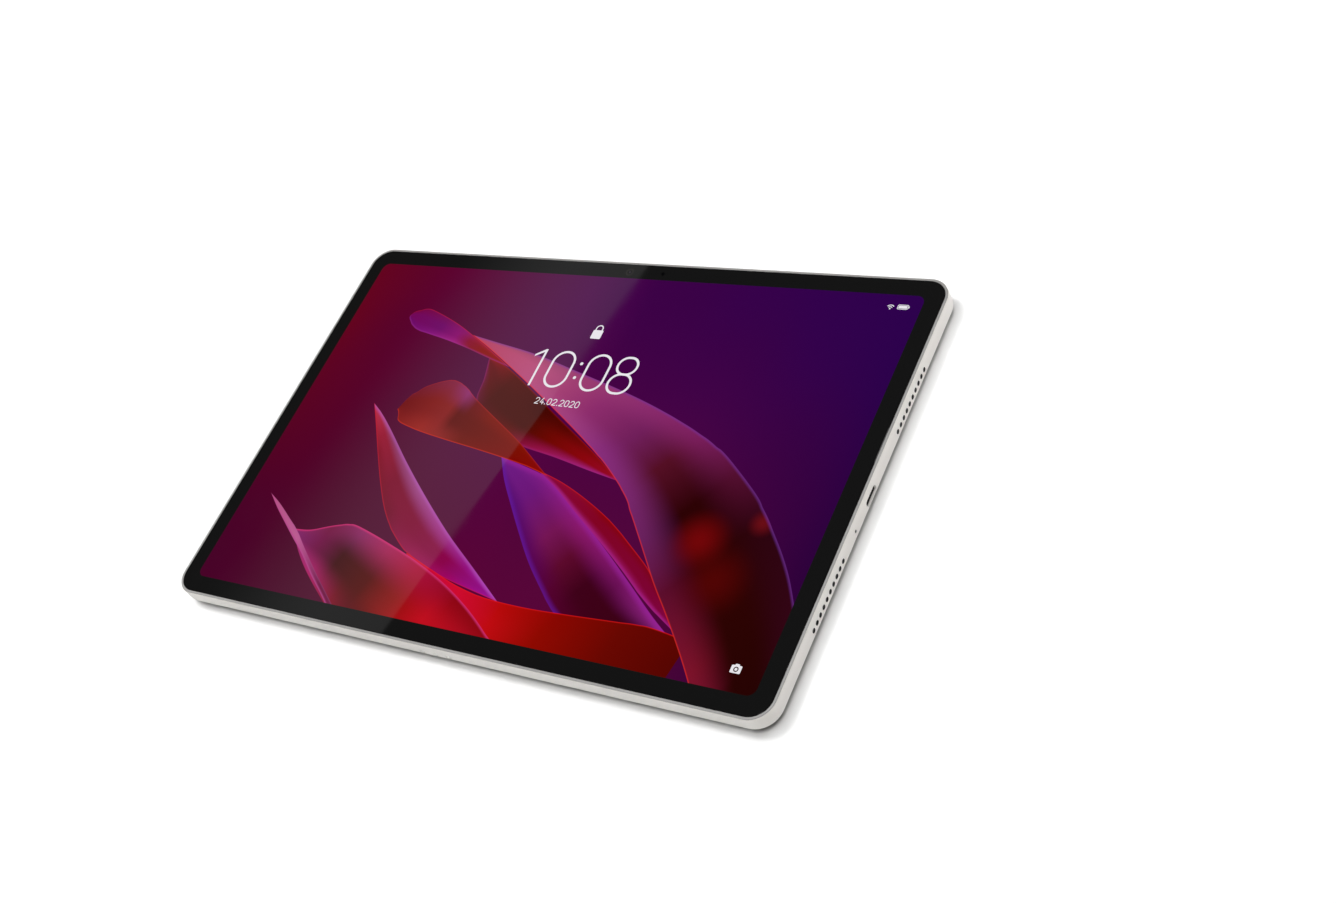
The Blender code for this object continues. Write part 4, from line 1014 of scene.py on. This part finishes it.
def microphone_felt(material):
    """The dark felt behind the microphone hole, in line with the speaker meshes."""
    low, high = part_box("speaker_mesh_right_top")
    sound_line = middle("speaker_mesh_right_top").z
    shape = bmesh.new()
    prism(shape, arc((0.0, 0.0), FELT_RADIUS, 0, 345, 23), low[0] / MM, high[0] / MM)
    onto_x = Matrix(((0, 0, 1, 0), (1, 0, 0, middle("microphone").y), (0, 1, 0, sound_line), (0, 0, 0, 1)))
    shape.transform(onto_x)
    new_piece("microphone_felt", shape, material, "chassis", smooth=False)


PAD_COUNT = 12
PAD_PITCH = 0.5
PAD_SIZE = (2.6, 0.28)
PAD_INSET = 1.9
PAD_BOTTOM, PAD_TOP = 0.004, 0.03


def port_pads():
    """The gold contacts on both sides of the tongue in the port."""
    tones = ((200, 160, 86), (222, 186, 116))
    gold = plain("gold_pads", tones, 1.0, (0.2, 0.3), grain=(0.05, 0.001), metallic=1.0)
    low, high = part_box("usb_c_tongue")
    pad = box_outline((high[0] / MM - PAD_INSET, 0.0), PAD_SIZE, 0.08, 2)
    for name, height, side in (("upper", high[2] / MM, 1), ("lower", low[2] / MM, -1)):
        shape = bmesh.new()
        for index in range(PAD_COUNT):
            across = (index - (PAD_COUNT - 1) / 2) * PAD_PITCH
            outline = [(x, across + y) for x, y in pad]
            prism(shape, outline, *sorted((height + side * PAD_BOTTOM, height + side * PAD_TOP)))
        new_piece(f"port_pads_{name}", shape, gold, "chassis", smooth=False)


# Putting the finishes on


def dress():
    """Gives every CAD node its finish."""
    shine = dict(metallic=1.0)
    ring = ring_finish()
    gasket = plain("foam_black", ((20, 20, 20), (30, 30, 30)), 1.0, (0.8, 0.95), grain=(0.15, 0.03))
    black = plain("gloss_black", ((9, 9, 10), (16, 16, 17)), 8.0, (0.07, 0.13), grain=(1.0, 0.0006), coat=0.6)
    steel_tones, tin_tones = ((150, 150, 151), (178, 178, 178)), ((178, 178, 174), (204, 204, 200))
    grey_tones, plastic_tones = ((138, 136, 134), (146, 144, 142)), ((24, 24, 25), (34, 34, 35))
    nickel_tones, silver_tones = ((166, 166, 160), (190, 190, 184)), ((222, 221, 216), (238, 237, 233))
    drawn = dict(grain=(0.1, 0.0015), stretch=(1.0, 6.0, 6.0), **shine)
    finishes = {
        "shell": shell_finish(),
        "band": gloss_finish("gloss_band", ((227, 224, 217), (230, 228, 221))),
        "lens_ring": ring,
        "lens_black": black,
        "lens_glass": black,
        "flash_lens": flash_finish(),
        "flash_led": plain("phosphor", ((232, 204, 96), (244, 222, 130)), 0.6, (0.5, 0.7), grain=(0.08, 0.006)),
        "front_glass": screen_finish(),
        "frame": plain("border_grey", grey_tones, 12.0, (0.36, 0.5), grain=(0.1, 0.0015)),
        "gasket": gasket,
        "display": plain("panel_dark", ((30, 8, 34), (44, 12, 50)), 40.0, (0.15, 0.25), grain=(0.1, 0.0005)),
        "steel": plain("drawn_steel", steel_tones, 4.0, (0.25, 0.4), **drawn),
        "tinned": plain("tinned_steel", tin_tones, 5.0, (0.22, 0.36), grain=(0.2, 0.001), **shine),
        "flex": flex_finish(),
        "board": board_finish(),
        "chip": plain("moulded_chip", ((26, 26, 28), (36, 36, 38)), 3.0, (0.45, 0.6), grain=(0.08, 0.004)),
        "battery": foil_finish(),
        "black_plastic": plain("moulded_black", plastic_tones, 4.0, (0.42, 0.58), grain=(0.12, 0.004)),
        "magnet": plain("nickel_plate", nickel_tones, 3.0, (0.2, 0.32), grain=(0.2, 0.001), **shine),
        "contact": plain("silver_plate", silver_tones, 1.5, (0.2, 0.32), grain=(0.08, 0.001), metallic=0.9),
        "diaphragm": plain("cone_film", ((62, 62, 65), (78, 78, 81)), 2.0, (0.5, 0.65), grain=(0.2, 0.004)),
        "mesh": mesh_finish(),
    }
    own = {
        "camera_cover": gloss_finish("gloss_cover", ((240, 237, 231), (243, 241, 236))),
        # The port's steel shell is coloured near black: painted shade deep in the port
        "usb_c_shell": plain("port_shell_painted_shade", ((11, 11, 12), (19, 19, 20)), 4.0, (0.5, 0.65), grain=(0.1, 0.002)),
    }
    for part in frame["record"]["subparts"]:
        mesh = frame["nodes"][part["node"]].data
        for index in range(len(mesh.materials)):
            mesh.materials[index] = own.get(part["node"]) or finishes[part["material_slot"]]
    flash_ring(ring)
    microphone_felt(gasket)


# Camera, floor and lights, in metres

PAINTED_SHADOW_HALF = Vector((0.1449, 0.094, 0.0))
PAINTED_SHADOW_CORNER = 0.0096
PAINTED_SHADOW_BLUR = 0.003
FLOOR_SIZE = 8.0
HAZE_START, HAZE_END = 0.6, 1.8


def add_camera():
    data = bpy.data.cameras.new("camera")
    data.lens = 46.31
    data.sensor_width = 36.0
    data.shift_x, data.shift_y = 0.0273, 0.0201
    data.clip_start = 0.01
    camera = bpy.data.objects.new("camera", data)
    right, up, back = (0.81421, 0.40407, -0.41689), (-0.11596, 0.81677, 0.56519), (0.56888, -0.41184, 0.71187)
    turn = Matrix((right, up, back)).transposed().to_4x4()
    camera.matrix_world = Matrix.Translation((0.41805, -0.27619, 0.47108)) @ turn
    bpy.context.scene.collection.objects.link(camera)
    bpy.context.scene.camera = camera


def add_floor():
    """A pale floor, with a painted shadow under the tablet and white far off. From below, light and sight pass
    through it.
    """
    shape = bmesh.new()
    bmesh.ops.create_grid(shape, x_segments=8, y_segments=8, size=FLOOR_SIZE)
    mesh = bpy.data.meshes.new("floor")
    shape.to_mesh(mesh)
    shape.free()
    floor = bpy.data.objects.new("floor", mesh)
    bpy.context.scene.collection.objects.link(floor)
    graph = Graph("pale_floor")
    tone = graph.ramp(graph.noise(400.0), ((0.3, (250, 250, 250)), (0.7, (252, 252, 252))))
    # Painted shadow: the floor under the tablet is darkened
    past = graph.past_corner(graph.place, PAINTED_SHADOW_HALF, PAINTED_SHADOW_CORNER)
    beneath = graph.mapped(past, PAINTED_SHADOW_CORNER, PAINTED_SHADOW_CORNER - PAINTED_SHADOW_BLUR)
    tone = graph.mix(beneath, tone, srgb(40, 40, 40))
    far = graph.mapped(graph.vector("LENGTH", graph.place), HAZE_START, HAZE_END)
    haze = graph.maths("MULTIPLY", far, graph.node("LightPath").outputs["Is Camera Ray"])
    graph.set(Base_Color=tone, Roughness=0.9, Specular_IOR_Level=0.1)
    graph.set(Emission_Color=srgb(255, 255, 255), Emission_Strength=haze)
    below = graph.node("NewGeometry").outputs["Backfacing"]
    passed = graph.maths("GREATER_THAN", graph.node("LightPath").outputs["Transparent Depth"], 0.5)
    clear = graph.node("BsdfTransparent").outputs[0]
    blend = graph.node("MixShader", {0: graph.maths("MAXIMUM", below, passed)})
    graph.put(blend.inputs[1], graph.shader.outputs[0])
    graph.put(blend.inputs[2], clear)
    graph.put(graph.tree.nodes["Material Output"].inputs["Surface"], blend.outputs[0])
    mesh.materials.append(graph.material)


def add_area_light(name, place, target, size, radiance):
    """A white rectangular light that faces a point, with a brightness per area."""
    data = bpy.data.lights.new(name, "AREA")
    data.shape = "RECTANGLE"
    data.size, data.size_y = size
    data.energy = radiance * math.pi * size[0] * size[1]
    light = bpy.data.objects.new(name, data)
    light.location = place
    light.rotation_euler = (Vector(place) - Vector(target)).to_track_quat("Z", "Y").to_euler()
    bpy.context.scene.collection.objects.link(light)
    return light


def add_glare_panel():
    """A dim hanging panel, whose reflection is the slanted sheen on the glass, crisp on one side."""
    near, far = Vector((-0.527, 0.573, 0.61)), Vector((-0.605, 0.145, 0.61))
    heading = (near - far).normalized()
    inward = Vector((heading.y, -heading.x, 0.0))
    width, length = 0.24, 1.0
    centre = (near + far) / 2 - inward * width / 2
    light = add_area_light("glare_panel", centre, centre - Vector((0, 0, 1)), (width, length), 0.29)
    axes = Matrix((inward, heading, inward.cross(heading))).transposed().to_4x4()
    light.matrix_world = Matrix.Translation(centre) @ axes
    light.data.use_nodes = True
    tree = light.data.node_tree
    emission = tree.nodes["Emission"]
    place = tree.nodes.new("ShaderNodeNewGeometry").outputs["Parametric"]
    parts = tree.nodes.new("ShaderNodeSeparateXYZ")
    fade = tree.nodes.new("ShaderNodeMapRange")
    fade.interpolation_type = "SMOOTHSTEP"
    tree.links.new(place, parts.inputs[0])
    tree.links.new(parts.outputs["X"], fade.inputs["Value"])
    fade.inputs["From Min"].default_value = 0.0
    fade.inputs["From Max"].default_value = 0.7
    tree.links.new(fade.outputs["Result"], emission.inputs["Strength"])


def add_world():
    """White to the camera, and to everything that reflects it dim above and brighter below."""
    world = bpy.data.worlds.new("studio")
    bpy.context.scene.world = world
    world.use_nodes = True
    nodes, links = world.node_tree.nodes, world.node_tree.links
    background = nodes["Background"]
    seen = nodes.new("ShaderNodeLightPath").outputs["Is Camera Ray"]
    height = nodes.new("ShaderNodeSeparateXYZ")
    links.new(nodes.new("ShaderNodeTexCoord").outputs["Generated"], height.inputs[0])
    dim = nodes.new("ShaderNodeMapRange")
    level = nodes.new("ShaderNodeMapRange")
    for name, value in (("From Min", -0.2), ("From Max", 0.1), ("To Min", 0.16), ("To Max", 0.012)):
        dim.inputs[name].default_value = value
    links.new(height.outputs["Z"], dim.inputs["Value"])
    links.new(dim.outputs["Result"], level.inputs["To Min"])
    links.new(seen, level.inputs["Value"])
    links.new(level.outputs["Result"], background.inputs["Strength"])
    background.inputs["Color"].default_value = (1.0, 1.0, 1.0, 1.0)


def add_lights():
    origin = (0.0, 0.0, 0.0)
    add_area_light("overhead", (0.1, -0.1, 2.6), origin, (2.2, 2.2), 3.4)
    add_area_light("key", (-0.6, 0.22, 1.9), origin, (0.4, 0.4), 29.0)
    add_area_light("low_key", (-2.4, 0.5, 1.3), origin, (0.5, 0.5), 16.0)
    add_area_light("right_fill", (0.36, 0.22, 0.24), (0.145, 0.0, 0.005), (0.15, 0.15), 4.5)
    add_area_light("front_fill", (1.0, -1.3, 0.8), origin, (0.5, 0.5), 2.7)
    add_area_light("under", (0.0, 0.0, -2.4), origin, (1.8, 1.8), 4.9)
    add_area_light("under_side", (0.9, 0.7, -1.1), origin, (0.25, 0.7), 4.0)
    add_area_light("under_low", (-1.0, -0.6, -1.0), origin, (0.2, 0.6), 3.0)
    add_glare_panel()


bpy.context.scene.view_settings.view_transform = "Standard"
add_camera()
add_floor()
add_world()
add_lights()
dress()
screen_icons()
lens_pieces()
port_pads()
